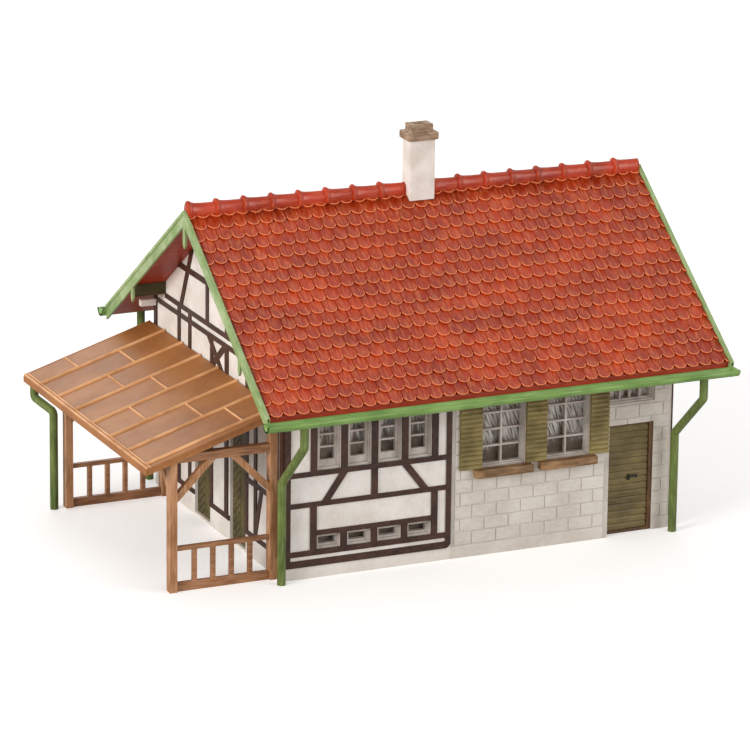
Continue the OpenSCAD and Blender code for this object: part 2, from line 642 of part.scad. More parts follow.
house_floor();
front_timber_wall();
front_block_wall();
porch_gable_wall();
door_gable_wall();
rear_wall();
front_timbers();
porch_gable_timbers();
door_gable_timbers();
rear_timbers();
front_casements();
block_wall_casements();
transom_window();
rear_casements();
front_panes();
transom_pane();
rear_panes();
curtain_card();
left_shutter();
middle_shutter();
right_shutter();
left_window_sill();
right_window_sill();
front_door();
front_door_frame();
porch_doors();
front_roof_slope();
rear_roof_slope();
left_ridge_caps();
right_ridge_caps();
porch_verge_front();
porch_verge_rear();
door_verge_front();
door_verge_rear();
front_purlin();
rear_purlin();
chimney_shaft();
chimney_cap();
front_gutter();
rear_gutter();
front_left_downpipe();
front_right_downpipe();
rear_left_downpipe();
rear_right_downpipe();
porch_roof();
porch_front_left_post();
porch_front_right_post();
porch_rear_left_post();
porch_rear_right_post();
porch_front_beam();
porch_rear_beam();
porch_eave_beam();
porch_front_rail();
porch_rear_rail();
porch_downpipe();
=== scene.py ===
"""Half-timbered cottage with a side porch: its looks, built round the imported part.

Every length in the classes is in millimetres, measured from the foot of the
front wall at its porch end: X along the front wall, Y to the rear, Z up. A
piece is built in that house frame and is put into the row frame, in metres,
when it is settled.
"""

import logging
import math
from dataclasses import dataclass
from enum import Enum

import bmesh
import bpy
from mathutils import Matrix, Vector


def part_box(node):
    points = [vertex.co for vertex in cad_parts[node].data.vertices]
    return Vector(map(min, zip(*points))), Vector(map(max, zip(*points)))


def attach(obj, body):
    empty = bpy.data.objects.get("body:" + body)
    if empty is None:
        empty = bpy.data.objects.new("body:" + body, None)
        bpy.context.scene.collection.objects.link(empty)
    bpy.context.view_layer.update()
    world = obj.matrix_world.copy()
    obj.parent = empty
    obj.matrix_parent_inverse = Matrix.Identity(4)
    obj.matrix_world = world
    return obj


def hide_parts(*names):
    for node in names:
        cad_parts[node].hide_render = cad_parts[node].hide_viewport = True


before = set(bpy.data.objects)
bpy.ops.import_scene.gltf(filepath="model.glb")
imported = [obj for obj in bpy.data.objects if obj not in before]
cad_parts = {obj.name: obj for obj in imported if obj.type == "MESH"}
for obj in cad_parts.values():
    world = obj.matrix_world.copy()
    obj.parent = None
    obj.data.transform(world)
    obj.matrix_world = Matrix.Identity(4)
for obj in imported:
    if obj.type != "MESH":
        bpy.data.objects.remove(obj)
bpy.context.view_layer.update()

LOG = logging.getLogger("cottage")
MM = 0.001
BODY = "root"
WELD = 0.002  # points of a CAD mesh closer than this are one
HAIR = 0.0008  # width under which a rounding counts as none
FINE_EDGE = 0.1  # rounding of thin mouldings
EDGE = 0.12  # rounding of most mouldings
TIMBER_EDGE = 0.13  # rounding of timbers and posts
Point = tuple[float, float, float]
Flat = tuple[float, float]
Colour = tuple[int, int, int]
Rect = tuple[float, float, float, float]  # x, z, x and z
Hole = tuple[Flat, Flat]  # low and high corner of an opening, as x and z
Placed = tuple[Point, Point]  # centre and size of a repeated unit


class Way(Enum):
    """The axis along which an outline is drawn out."""

    X = "x"
    Y = "y"


class Slot(Enum):
    """The record's material slots, passed along with the new pieces but not read."""

    ROOF = "roof_red"
    VERGE = "verge_green"
    PURLIN = "purlin_green"
    PLASTER = "plaster_white"
    BLOCK = "block_white"
    TIMBER = "timber_brown"
    CARD = "printed_card"
    SHUTTER = "shutter_olive"
    SILL = "sill_brown"
    DOOR_FRAME = "door_frame_brown"
    CHIMNEY = "chimney_white"
    CAP = "chimney_cap_brown"
    GUTTER = "gutter_green"
    PIPE = "pipe_green"
    PORCH_ROOF = "porch_roof_tan"
    PORCH = "porch_brown"


# ---------------------------------------------------------------- house frame


@dataclass(frozen=True)
class HouseFrame:
    """The corner that lengths are measured from, and the house's length."""

    corner: Vector
    length: float

    @classmethod
    def from_walls(cls) -> "HouseFrame":
        """Reads the corner and the length of the house from the wall boxes.

        Returns:
            The house frame.
        """
        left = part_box("porch_gable_wall")[0].x
        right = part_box("door_gable_wall")[1].x
        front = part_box("front_block_wall")[0].y
        return cls(Vector((left, front, 0.0)), (right - left) / MM)

    def to_row(self) -> Matrix:
        """Matrix from the house frame in millimetres to the row frame in metres."""
        return Matrix.Translation(self.corner) @ Matrix.Scale(MM, 4)

    def box(self, node: str) -> tuple[Vector, Vector]:
        """Lowest and highest corner of a CAD node, in the house frame.

        Args:
            node: name of the CAD node.

        Returns:
            The two corners in millimetres.
        """
        low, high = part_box(node)
        return (low - self.corner) / MM, (high - self.corner) / MM


HOUSE = HouseFrame.from_walls()


# ---------------------------------------------------------------- mesh helpers


def linear(colour: Colour) -> tuple[float, float, float, float]:
    """Linear colour of a colour written in 0 to 255.

    Args:
        colour: red, green and blue.

    Returns:
        Linear red, green, blue and an alpha of one.
    """
    parts = [c / 255 for c in colour]
    bent = [c / 12.92 if c <= 0.04045 else ((c + 0.055) / 1.055) ** 2.4 for c in parts]
    return bent[0], bent[1], bent[2], 1.0


def as_object(name: str, bm: bmesh.types.BMesh) -> bpy.types.Object:
    """Turns an edited mesh into an object of the scene.

    Args:
        name: name of the object.
        bm: the mesh, which is freed.

    Returns:
        The new object, still in the house frame.
    """
    mesh = bpy.data.meshes.new(name)
    bm.to_mesh(mesh)
    bm.free()
    made = bpy.data.objects.new(name, mesh)
    bpy.context.scene.collection.objects.link(made)
    return made


def prism(
    bm: bmesh.types.BMesh, outline: list[Flat], start: float, end: float, way: Way
) -> None:
    """Adds an outline drawn out along one axis.

    Args:
        bm: mesh that the solid is added to.
        outline: corners in the plane square to the axis, YZ or XZ.
        start: where the solid begins on the axis.
        end: where it ends.
        way: the axis.
    """
    place = {
        Way.X: lambda a, b, t: (t, a, b),
        Way.Y: lambda a, b, t: (a, t, b),
    }[way]
    rings = [[bm.verts.new(place(a, b, t)) for a, b in outline] for t in (start, end)]
    count = len(outline)
    faces = [bm.faces.new(rings[0]), bm.faces.new(rings[1])]
    for i in range(count):
        j = (i + 1) % count
        faces.append(bm.faces.new((rings[0][i], rings[0][j], rings[1][j], rings[1][i])))
    bmesh.ops.recalc_face_normals(bm, faces=faces)


def block(bm: bmesh.types.BMesh, low: Point, high: Point) -> None:
    """Adds a plain block.

    Args:
        bm: mesh that the block is added to.
        low: its lowest corner.
        high: its highest corner.
    """
    outline = [
        (low[0], low[2]), (high[0], low[2]), (high[0], high[2]), (low[0], high[2])
    ]
    prism(bm, outline, low[1], high[1], Way.Y)


def harvest(made: bpy.types.Object) -> bpy.types.Object:
    """Makes an object's modifiers part of its plain mesh.

    Args:
        made: object with live modifiers.

    Returns:
        The same object with a plain mesh and no modifier.
    """
    graph = bpy.context.evaluated_depsgraph_get()
    mesh = bpy.data.meshes.new_from_object(
        made.evaluated_get(graph), preserve_all_data_layers=True, depsgraph=graph
    )
    made.modifiers.clear()
    made.data = mesh
    mesh.name = made.name
    return made


def eased(
    made: bpy.types.Object, width: float, segments: int = 2
) -> bpy.types.Object:
    """Rounds an object's edges, as a mould does.

    Args:
        made: object in the house frame.
        width: width of the rounding in millimetres.
        segments: steps of the rounding.

    Returns:
        The same object with rounded edges.
    """
    made.data.shade_flat()
    bevel = made.modifiers.new("ease", "BEVEL")
    bevel.width = width
    bevel.segments = segments
    bevel.limit_method = "ANGLE"
    bevel.angle_limit = math.radians(35)
    bevel.use_clamp_overlap = True
    return harvest(made)


def smoothed(made: bpy.types.Object, sharp: float = 50) -> bpy.types.Object:
    """Shades an object smooth, but for its sharp edges.

    Args:
        made: the object.
        sharp: smallest angle in degrees that stays sharp.

    Returns:
        The same object.
    """
    made.data.shade_smooth()
    made.data.set_sharp_from_angle(angle=math.radians(sharp))
    return made


def healed(made: bpy.types.Object, reach: float = HAIR) -> bpy.types.Object:
    """Merges the faces without width that a clamped rounding leaves.

    Args:
        made: object in the house frame.
        reach: distance in millimetres under which points are one.

    Returns:
        The same object, with whole faces only.
    """
    bm = bmesh.new()
    bm.from_mesh(made.data)
    bmesh.ops.remove_doubles(bm, verts=bm.verts, dist=reach)
    bmesh.ops.dissolve_degenerate(bm, edges=bm.edges, dist=reach)
    bm.to_mesh(made.data)
    bm.free()
    return made


def cad_mesh(node: str) -> bmesh.types.BMesh:
    """A merged copy of a CAD node's mesh, in the house frame.

    Args:
        node: name of the CAD node.

    Returns:
        The copy, with its flat faces made whole.
    """
    bm = bmesh.new()
    bm.from_mesh(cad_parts[node].data)
    bmesh.ops.transform(bm, matrix=HOUSE.to_row().inverted(), verts=bm.verts)
    bmesh.ops.remove_doubles(bm, verts=bm.verts, dist=WELD)
    bmesh.ops.dissolve_limit(
        bm, angle_limit=math.radians(1.5), verts=bm.verts, edges=bm.edges
    )
    return bm


def softened(
    node: str, name: str, width: float = EDGE, segments: int = 2
) -> bpy.types.Object:
    """A copy of a CAD node with the rounded edges of a moulding.

    Args:
        node: name of the CAD node.
        name: name of the new piece.
        width: width of the rounding in millimetres.
        segments: steps of the rounding.

    Returns:
        The new object, in the house frame.
    """
    return healed(eased(as_object(name, cad_mesh(node)), width, segments))


def cut_off(made: bpy.types.Object, at: Point, outward: Point) -> None:
    """Cuts away what lies beyond a plane and closes the cut.

    Args:
        made: object in the house frame.
        at: a point of the plane.
        outward: direction of the side that is cut away.
    """
    bm = bmesh.new()
    bm.from_mesh(made.data)
    geometry = [*bm.verts, *bm.edges, *bm.faces]
    cut = bmesh.ops.bisect_plane(
        bm, geom=geometry, plane_co=at, plane_no=outward, clear_outer=True
    )
    edges = [e for e in cut["geom_cut"] if isinstance(e, bmesh.types.BMEdge)]
    bmesh.ops.holes_fill(bm, edges=edges, sides=0)
    bm.to_mesh(made.data)
    bm.free()


# ---------------------------------------------------------------- node wiring


class Wiring:
    """Adds nodes to one tree and wires them."""

    def __init__(self, tree: bpy.types.NodeTree) -> None:
        """Keeps the tree that the nodes go into."""
        self.tree = tree

    def add(self, kind: str, **settings: object) -> bpy.types.Node:
        """Adds a node and sets its properties.

        Args:
            kind: the node's type.
            settings: properties of the node.

        Returns:
            The new node.
        """
        node = self.tree.nodes.new(kind)
        for key, value in settings.items():
            setattr(node, key, value)
        return node

    def put(self, node: bpy.types.Node, name: str, value: object) -> None:
        """Wires a socket, or a plain value, to the shown input of that name.

        Args:
            node: node with the input.
            name: name of the input.
            value: a socket or a value.
        """
        target = next(s for s in node.inputs if s.name == name and s.enabled)
        if isinstance(value, bpy.types.NodeSocket):
            self.tree.links.new(value, target)
        else:
            target.default_value = value

    def sum(self, operation: str, *terms: object) -> bpy.types.NodeSocket:
        """Result of a sum on numbers or sockets.

        Args:
            operation: name of the sum.
            terms: numbers or sockets.

        Returns:
            The socket with the result.
        """
        node = self.add("ShaderNodeMath", operation=operation)
        for target, term in zip(node.inputs, terms):
            if isinstance(term, bpy.types.NodeSocket):
                self.tree.links.new(term, target)
            else:
                target.default_value = term
        return node.outputs[0]

    def blend(
        self, factor: object, first: object, second: object
    ) -> bpy.types.NodeSocket:
        """Mixes two colours.

        Args:
            factor: a number or a socket.
            first: colour where the factor is zero.
            second: colour where the factor is one.

        Returns:
            The socket with the mixed colour.
        """
        node = self.add("ShaderNodeMix", data_type="RGBA")
        for name, value in (("Factor", factor), ("A", first), ("B", second)):
            self.put(node, name, value)
        return next(s for s in node.outputs if s.enabled)

    def ramp(self, value: object, low: float, high: float) -> bpy.types.NodeSocket:
        """Smooth step of a value.

        Args:
            value: the value's socket.
            low: where the step is zero.
            high: where it is one; it may lie under low.

        Returns:
            The socket with the step.
        """
        node = self.add("ShaderNodeMapRange", interpolation_type="SMOOTHSTEP")
        for name, term in (("Value", value), ("From Min", low), ("From Max", high)):
            self.put(node, name, term)
        return node.outputs[0]

    def noise(
        self, vector: bpy.types.NodeSocket, size: float, detail: float = 2.0
    ) -> bpy.types.NodeSocket:
        """Noise whose patches have about the given size.

        Args:
            vector: place in millimetres.
            size: size of a patch in millimetres.
            detail: finer steps on top.

        Returns:
            The socket with a value round a half.
        """
        node = self.add("ShaderNodeTexNoise")
        self.put(node, "Vector", vector)
        self.put(node, "Scale", 1 / size)
        self.put(node, "Detail", detail)
        return node.outputs[0]


# ---------------------------------------------------------------- finishes


PATCH_STEP = (0.3, 0.7)  # how softly deep patches fade into the base colour
PALE_STEP = (0.4, 0.75)  # part of the streaks that turns pale
DEEP_STEP = (0.5, 0.25)  # part of the streaks that turns deep
RIM_HIGHLIGHT_STEP = (0.45, 1.0)  # part of the rim attribute that shows as a painted highlight
FOOT_HIGH = 3.5  # height in millimetres up to which a wall is darker towards its foot
SPECULAR = 0.36


class Finish:
    """A finish whose material is made once, under its name."""

    name: str

    def material(self) -> bpy.types.Material:
        """The finished material.

        Returns:
            The material, made on the first call.
        """
        found = bpy.data.materials.get(self.name)
        if found:
            return found
        made = bpy.data.materials.new(self.name)
        made.use_nodes = True
        self.paint(Wiring(made.node_tree), made.node_tree.nodes["Principled BSDF"])
        return made

    def paint(self, wires: Wiring, shader: bpy.types.Node) -> None:
        """Adds the nodes of the finish; each finish has its own."""
        raise NotImplementedError


@dataclass(frozen=True)
class Moulding(Finish):
    """Moulded plastic: mottled colour, grain along one way and a fine skin.

    The tone attribute of repeated units shifts their colour, and their rim
    attribute paints a highlight on their rounded lip edges.
    """

    name: str
    base: Colour
    deep: Colour
    pale: Colour
    roughness: float = 0.45
    patch: float = 9.0
    grain: Point = (1.0, 1.0, 1.0)
    grain_size: float = 0.5
    streak: float = 0.25
    skin: float = 0.02
    tone: float = 0.0
    rim: float = 0.0
    foot: float = 0.0

    def paint(self, wires: Wiring, shader: bpy.types.Node) -> None:
        """Adds the colour, the gloss and the bump.

        Args:
            wires: the material's wiring.
            shader: the surface shader.
        """
        place = in_house(wires)
        colour, streaks = self._colour(wires, place)
        wires.put(shader, "Base Color", colour)
        wires.put(shader, "Specular IOR Level", SPECULAR)
        self._surface(wires, shader, place, streaks)

    def _colour(
        self, wires: Wiring, place: bpy.types.NodeSocket
    ) -> tuple[bpy.types.NodeSocket, bpy.types.NodeSocket]:
        """Colour of the plastic and the streaks that its bump shares.

        Args:
            wires: the material's wiring.
            place: place on the object in millimetres.

        Returns:
            The colour and the streaks.
        """
        patches = wires.ramp(wires.noise(place, self.patch, 3.0), *PATCH_STEP)
        colour = wires.blend(patches, linear(self.deep), linear(self.base))
        along = wires.add("ShaderNodeMapping")
        wires.put(along, "Vector", place)
        wires.put(along, "Scale", self.grain)
        streaks = wires.noise(along.outputs[0], self.grain_size, 4.0)
        amount = wires.sum("MULTIPLY", wires.ramp(streaks, *PALE_STEP), self.streak)
        colour = wires.blend(amount, colour, linear(self.pale))
        low = wires.sum("MULTIPLY", wires.ramp(streaks, *DEEP_STEP), self.streak)
        colour = wires.blend(low, colour, linear(self.deep))
        if self.tone:
            tone = wires.add("ShaderNodeAttribute", attribute_name="tone").outputs[2]
            shift = wires.sum("MULTIPLY", tone, self.tone)
            colour = wires.blend(shift, colour, linear(self.deep))
        # painted highlight: the rim attribute lightens the lip edges towards the pale
        # colour
        if self.rim:
            edge = wires.add("ShaderNodeAttribute", attribute_name="rim").outputs[2]
            worn = wires.sum("MULTIPLY", wires.ramp(edge, *RIM_HIGHLIGHT_STEP), self.rim)
            colour = wires.blend(worn, colour, linear(self.pale))
        # walls turn darker towards their foot
        if self.foot:
            split = wires.add("ShaderNodeSeparateXYZ")
            wires.put(split, "Vector", place)
            darker_foot = wires.sum(
                "MULTIPLY", wires.ramp(split.outputs[2], FOOT_HIGH, 0.0), self.foot
            )
            colour = wires.blend(darker_foot, colour, linear(self.deep))
        return colour, streaks

    def _surface(
        self,
        wires: Wiring,
        shader: bpy.types.Node,
        place: bpy.types.NodeSocket,
        streaks: bpy.types.NodeSocket,
    ) -> None:
        """Adds the gloss and the bump of the moulded skin.

        Args:
            wires: the material's wiring.
            shader: the surface shader.
            place: place on the object in millimetres.
            streaks: streaks of the colour, which the bump follows.
        """
        fine = wires.noise(place, 0.35, 3.0)
        gloss = wires.add("ShaderNodeMapRange")
        wires.put(gloss, "Value", wires.noise(place, 2.4, 3.0))
        wires.put(gloss, "To Min", self.roughness - 0.08)
        wires.put(gloss, "To Max", self.roughness + 0.1)
        wires.put(shader, "Roughness", gloss.outputs[0])
        height = wires.sum("ADD", fine, wires.sum("MULTIPLY", streaks, 0.8))
        bump = wires.add("ShaderNodeBump")
        wires.put(bump, "Strength", 0.8)
        wires.put(bump, "Distance", self.skin * MM)
        wires.put(bump, "Height", height)
        wires.put(shader, "Normal", bump.outputs[0])


def in_house(wires: Wiring) -> bpy.types.NodeSocket:
    """Place on the object in the house frame, in millimetres.

    Args:
        wires: the material's wiring.

    Returns:
        The socket with the place.
    """
    coords = wires.add("ShaderNodeTexCoord")
    mapping = wires.add("ShaderNodeMapping")
    wires.put(mapping, "Vector", coords.outputs["Object"])
    wires.put(mapping, "Location", tuple(-HOUSE.corner / MM))
    wires.put(mapping, "Scale", (1 / MM,) * 3)
    return mapping.outputs[0]


@dataclass(frozen=True)
class CurtainPrint(Finish):
    """Printed card behind a row of windows: net curtains drawn over dark rooms."""

    name: str
    first: float
    period: float
    half: float
    sill: float
    height: float
    parted: float = 0.35
    hem: float = 0.3
    slant: float = 0.0
    paper: Colour = (252, 247, 242)
    room: Colour = (84, 66, 54)
    lit_room: Colour = (140, 120, 104)
    folds_across: float = 2.6
    folds_down: float = 0.3
    fold_step: Flat = (0.36, 0.6)
    tear_size: float = 1.4
    tear: float = 0.35
    soft_side: float = 0.35
    soft_hem: float = 0.25

    def paint(self, wires: Wiring, shader: bpy.types.Node) -> None:
        """Adds the print.

        Args:
            wires: the material's wiring.
            shader: the surface shader.
        """
        split = wires.add("ShaderNodeSeparateXYZ")
        place = in_house(wires)
        wires.put(split, "Vector", place)
        x, z = split.outputs[0], split.outputs[2]
        middle = self.period / 2
        shifted = wires.sum("ADD", x, middle - self.first)
        wrapped = wires.sum("FLOORED_MODULO", shifted, self.period)
        local = wires.sum("SUBTRACT", wrapped, middle)
        across = wires.sum("DIVIDE", wires.sum("ABSOLUTE", local), self.half)
        up = wires.sum("DIVIDE", wires.sum("SUBTRACT", z, self.sill), self.height)
        lean = wires.sum("ADD", x, wires.sum("MULTIPLY", z, self.slant))
        folds_at = wires.add("ShaderNodeCombineXYZ")
        wires.put(folds_at, "X", wires.sum("MULTIPLY", lean, self.folds_across))
        wires.put(folds_at, "Z", wires.sum("MULTIPLY", z, self.folds_down))
        folds = wires.ramp(wires.noise(folds_at.outputs[0], 1.0, 4.0), *self.fold_step)
        torn = wires.sum("MULTIPLY", wires.noise(place, self.tear_size, 3.0), self.tear)
        # the curtain hangs full at the top and draws aside towards its hem
        opening = wires.sum("SUBTRACT", wires.sum("ADD", across, up), torn)
        drawn = wires.ramp(opening, self.parted, self.parted + self.soft_side)
        fall = wires.sum("ADD", up, torn)
        hemmed = wires.ramp(fall, self.hem, self.hem + self.soft_hem)
        cloth = wires.sum("MULTIPLY", wires.sum("MULTIPLY", drawn, hemmed), folds)
        dim = wires.noise(place, 2.0)
        shade = wires.blend(dim, linear(self.room), linear(self.lit_room))
        colour = wires.blend(cloth, shade, linear(self.paper))
        wires.put(shader, "Base Color", colour)
        wires.put(shader, "Roughness", 0.7)


@dataclass(frozen=True)
class ClearSheet(Finish):
    """Thin clear glazing with faint smears, see-through by its alpha."""

    name: str = "clear_sheet"
    tint: Colour = (120, 122, 118)
    smeared: Colour = (160, 160, 155)
    smear_size: float = 1.6
    gloss: Flat = (0.08, 0.25)
    alpha: float = 0.08

    def paint(self, wires: Wiring, shader: bpy.types.Node) -> None:
        """Adds the smears and the clearness.

        Args:
            wires: the material's wiring.
            shader: the surface shader.
        """
        smear = wires.noise(in_house(wires), self.smear_size, 3.0)
        colour = wires.blend(smear, linear(self.tint), linear(self.smeared))
        wires.put(shader, "Base Color", colour)
        gloss = wires.add("ShaderNodeMapRange")
        wires.put(gloss, "Value", smear)
        wires.put(gloss, "To Min", self.gloss[0])
        wires.put(gloss, "To Max", self.gloss[1])
        wires.put(shader, "Roughness", gloss.outputs[0])
        wires.put(shader, "Alpha", self.alpha)


# the tiles' rim value sets the strength of the painted highlight on their lips
RED = Moulding(
    "red_tile", (184, 57, 10), (142, 36, 6), (246, 150, 98), 0.33, 8.0,
    (1.0, 0.16, 0.16), 0.4, 0.35, 0.03, tone=0.35, rim=0.85,
)
DECK_RED = Moulding(
    "red_deck", (176, 56, 28), (142, 42, 20), (206, 92, 62), 0.42, 14.0,
    (0.2, 1.0, 1.0), 0.6, 0.25, 0.02,
)
RIDGE_RED = Moulding(
    "red_ridge", (190, 56, 20), (146, 40, 12), (232, 128, 88), 0.28, 8.0,
    (0.2, 1.0, 1.0), 0.5, 0.25, 0.015, tone=0.3,
)
VERGE_GREEN = Moulding(
    "pale_green", (154, 174, 120), (116, 142, 80), (208, 218, 184), 0.4, 10.0,
    (1.0, 0.15, 0.15), 0.4, 0.3, 0.015,
)
GUTTER_GREEN = Moulding(
    "leaf_green", (132, 170, 90), (104, 140, 66), (178, 206, 140), 0.38, 9.0,
    (0.1, 1.0, 1.0), 0.5, 0.3, 0.015,
)
PIPE_GREEN = Moulding(
    "moss_green", (104, 118, 58), (76, 92, 42), (146, 160, 100), 0.4, 6.0,
    (1.0, 1.0, 0.12), 0.4, 0.35, 0.02,
)
PURLIN_GREEN = Moulding(
    "dark_green", (66, 60, 32), (46, 44, 22), (92, 84, 52), 0.45, 6.0,
    (0.15, 1.0, 1.0), 0.4, 0.35, 0.02,
)
PLASTER = Moulding(
    "plaster", (234, 228, 222), (214, 205, 196), (242, 238, 234), 0.6, 7.0,
    (1.0, 1.0, 1.0), 0.8, 0.25, 0.02, foot=0.4,
)
BLOCKWORK = Moulding(
    "blockwork", (219, 212, 203), (198, 188, 178), (234, 228, 221), 0.6, 8.0,
    (0.35, 1.0, 1.0), 0.5, 0.3, 0.03, tone=0.25, foot=0.3,
)
MORTAR = Moulding(
    "mortar", (207, 199, 190), (188, 179, 169), (220, 213, 206), 0.65, 6.0,
    (1.0, 1.0, 1.0), 0.5, 0.25, 0.02,
)
TIMBER = Moulding(
    "old_timber", (70, 44, 34), (50, 30, 23), (104, 76, 62), 0.42, 5.0,
    (0.4, 0.4, 0.4), 0.4, 0.25, 0.025,
)
FRAME_GREY = Moulding(
    "frame_grey", (206, 198, 191), (172, 160, 150), (230, 224, 218), 0.45, 4.0,
    (1.0, 1.0, 1.0), 0.4, 0.25, 0.015,
)
SHUTTER_OLIVE = Moulding(
    "olive_slats", (150, 134, 82), (104, 90, 50), (190, 175, 128), 0.42, 5.0,
    (0.15, 1.0, 1.0), 0.35, 0.18, 0.025, tone=0.25,
)
DOOR_OLIVE = Moulding(
    "door_olive", (126, 110, 66), (90, 77, 43), (160, 145, 102), 0.42, 6.0,
    (0.15, 1.0, 1.0), 0.35, 0.18, 0.025, tone=0.2,
)
PORCH_DOOR_OLIVE = Moulding(
    "porch_door_olive", (92, 82, 46), (64, 56, 28), (128, 116, 76), 0.42, 6.0,
    (1.0, 1.0, 0.15), 0.35, 0.4, 0.025, tone=0.4,
)
SILL_BROWN = Moulding(
    "worn_sill", (150, 112, 74), (104, 74, 46), (194, 160, 122), 0.5, 4.0,
    (0.12, 1.0, 1.0), 0.5, 0.5, 0.03,
)
FRAME_BROWN = Moulding(
    "brown_jambs", (106, 74, 46), (74, 50, 30), (140, 106, 76), 0.42, 5.0,
    (1.0, 1.0, 0.15), 0.4, 0.4, 0.02,
)
STACK_WHITE = Moulding(
    "stack_white", (232, 225, 218), (212, 202, 192), (242, 238, 234), 0.55, 5.0,
    (1.0, 1.0, 1.0), 0.7, 0.2, 0.02,
)
CAP_BROWN = Moulding(
    "cap_brown", (164, 136, 110), (120, 94, 70), (198, 174, 150), 0.5, 2.5,
    (0.3, 0.6, 1.0), 0.5, 0.5, 0.04,
)
ROOF_TAN = Moulding(
    "tan_boards", (168, 110, 58), (146, 92, 48), (200, 146, 94), 0.45, 12.0,
    (0.3, 1.0, 0.3), 0.4, 0.14, 0.025,
)
# raised seams: a lighter copy of the tan boards, a painted highlight on the ridges
RIB_TAN_HIGHLIGHT = Moulding(
    "tan_ribs", (226, 170, 118), (196, 138, 88), (246, 206, 164), 0.4, 6.0,
    (0.2, 0.2, 0.2), 0.5, 0.3, 0.015,
)
POST_BROWN = Moulding(
    "post_brown", (184, 132, 92), (142, 96, 60), (224, 180, 142), 0.42, 7.0,
    (1.0, 1.0, 0.1), 0.4, 0.45, 0.025,
)
BEAM_BROWN = Moulding(
    "beam_brown", (164, 114, 78), (122, 80, 50), (200, 154, 118), 0.42, 7.0,
    (0.1, 1.0, 1.0), 0.4, 0.45, 0.025,
)
FLOOR_GREY = Moulding(
    "grey_plate", (138, 131, 120), (112, 104, 94), (160, 152, 142), 0.6, 8.0,
)
HANDLE_BLACK = Moulding(
    "handle_black", (44, 38, 30), (30, 26, 20), (72, 64, 54), 0.35, 2.0,
)
GLAZING = ClearSheet()


# ---------------------------------------------------------------- node trees


class TreeKit(Wiring):
    """A geometry tree with named inputs that ends in a plain dressed mesh."""

    def __init__(self, name: str, sockets: dict[str, str]) -> None:
        """Makes the tree and its named inputs.

        Args:
            name: name of the tree.
            sockets: name and socket type of each input.
        """
        super().__init__(bpy.data.node_groups.new(name, "GeometryNodeTree"))
        face = self.tree.interface
        face.new_socket("Geometry", in_out="INPUT", socket_type="NodeSocketGeometry")
        for title, kind in sockets.items():
            face.new_socket(title, in_out="INPUT", socket_type=kind)
        face.new_socket("Geometry", in_out="OUTPUT", socket_type="NodeSocketGeometry")
        self.given = self.add("NodeGroupInput").outputs

    def close(self, geometry: bpy.types.NodeSocket) -> bpy.types.NodeTree:
        """Realizes the instances, sets the finish and ends the tree.

        Args:
            geometry: what the tree has built.

        Returns:
            The finished tree.
        """
        real = self.add("GeometryNodeRealizeInstances")
        self.put(real, "Geometry", geometry)
        dressed = self.add("GeometryNodeSetMaterial")
        self.put(dressed, "Geometry", real.outputs[0])
        self.put(dressed, "Material", self.given["Finish"])
        self.tree.links.new(dressed.outputs[0], self.add("NodeGroupOutput").inputs[0])
        return self.tree

    def random(self, low: object, high: object) -> bpy.types.NodeSocket:
        """Random number for each unit, from the Seed input.

        Args:
            low: lowest value.
            high: highest value.

        Returns:
            The socket with the number.
        """
        node = self.add("FunctionNodeRandomValue", data_type="FLOAT")
        for name, value in (("Min", low), ("Max", high), ("Seed", self.given["Seed"])):
            self.put(node, name, value)
        return next(s for s in node.outputs if s.enabled)

    def toned(self, geometry: bpy.types.NodeSocket) -> bpy.types.NodeSocket:
        """Gives each unit its own tone.

        Args:
            geometry: the laid units.

        Returns:
            The units with their tone attribute.
        """
        store = self.add(
            "GeometryNodeStoreNamedAttribute", data_type="FLOAT", domain="INSTANCE"
        )
        self.put(store, "Geometry", geometry)
        self.put(store, "Name", "tone")
        self.put(store, "Value", self.random(0.0, 1.0))
        return store.outputs[0]


def rows_tree() -> bpy.types.NodeTree:
    """Tree that lays one unit in rows and columns, each second row shifted.

    Returns:
        The finished tree.
    """
    kit = TreeKit(
        "rows_of_units",
        {
            "Unit": "NodeSocketObject",
            "Columns": "NodeSocketInt",
            "Rows": "NodeSocketInt",
            "Column Pitch": "NodeSocketFloat",
            "Row Pitch": "NodeSocketFloat",
            "Stagger": "NodeSocketFloat",
            "Wander": "NodeSocketFloat",
            "Seed": "NodeSocketInt",
            "Finish": "NodeSocketMaterial",
        },
    )
    given = kit.given
    index = kit.add("GeometryNodeInputIndex").outputs[0]
    row = kit.sum("FLOOR", kit.sum("DIVIDE", index, given["Columns"]))
    column = kit.sum("SUBTRACT", index, kit.sum("MULTIPLY", row, given["Columns"]))
    shift = kit.sum("MULTIPLY", kit.sum("MODULO", row, 2.0), given["Stagger"])
    place = kit.add("ShaderNodeCombineXYZ")
    along = kit.sum("MULTIPLY", column, given["Column Pitch"])
    kit.put(place, "X", kit.sum("ADD", along, shift))
    kit.put(place, "Y", kit.sum("MULTIPLY", row, given["Row Pitch"]))
    points = kit.add("GeometryNodePoints")
    kit.put(points, "Count", kit.sum("MULTIPLY", given["Columns"], given["Rows"]))
    kit.put(points, "Position", place.outputs[0])
    unit = kit.add("GeometryNodeObjectInfo")
    kit.put(unit, "Object", given["Unit"])
    less = kit.sum("MULTIPLY", given["Wander"], -1.0)
    turn = kit.add("ShaderNodeCombineXYZ")
    kit.put(turn, "X", kit.random(less, given["Wander"]))
    kit.put(turn, "Z", kit.random(less, given["Wander"]))
    rotation = kit.add("FunctionNodeEulerToRotation")
    kit.put(rotation, "Euler", turn.outputs[0])
    laid = kit.add("GeometryNodeInstanceOnPoints")
    kit.put(laid, "Points", points.outputs[0])
    kit.put(laid, "Instance", unit.outputs["Geometry"])
    kit.put(laid, "Rotation", rotation.outputs[0])
    return kit.close(kit.toned(laid.outputs[0]))


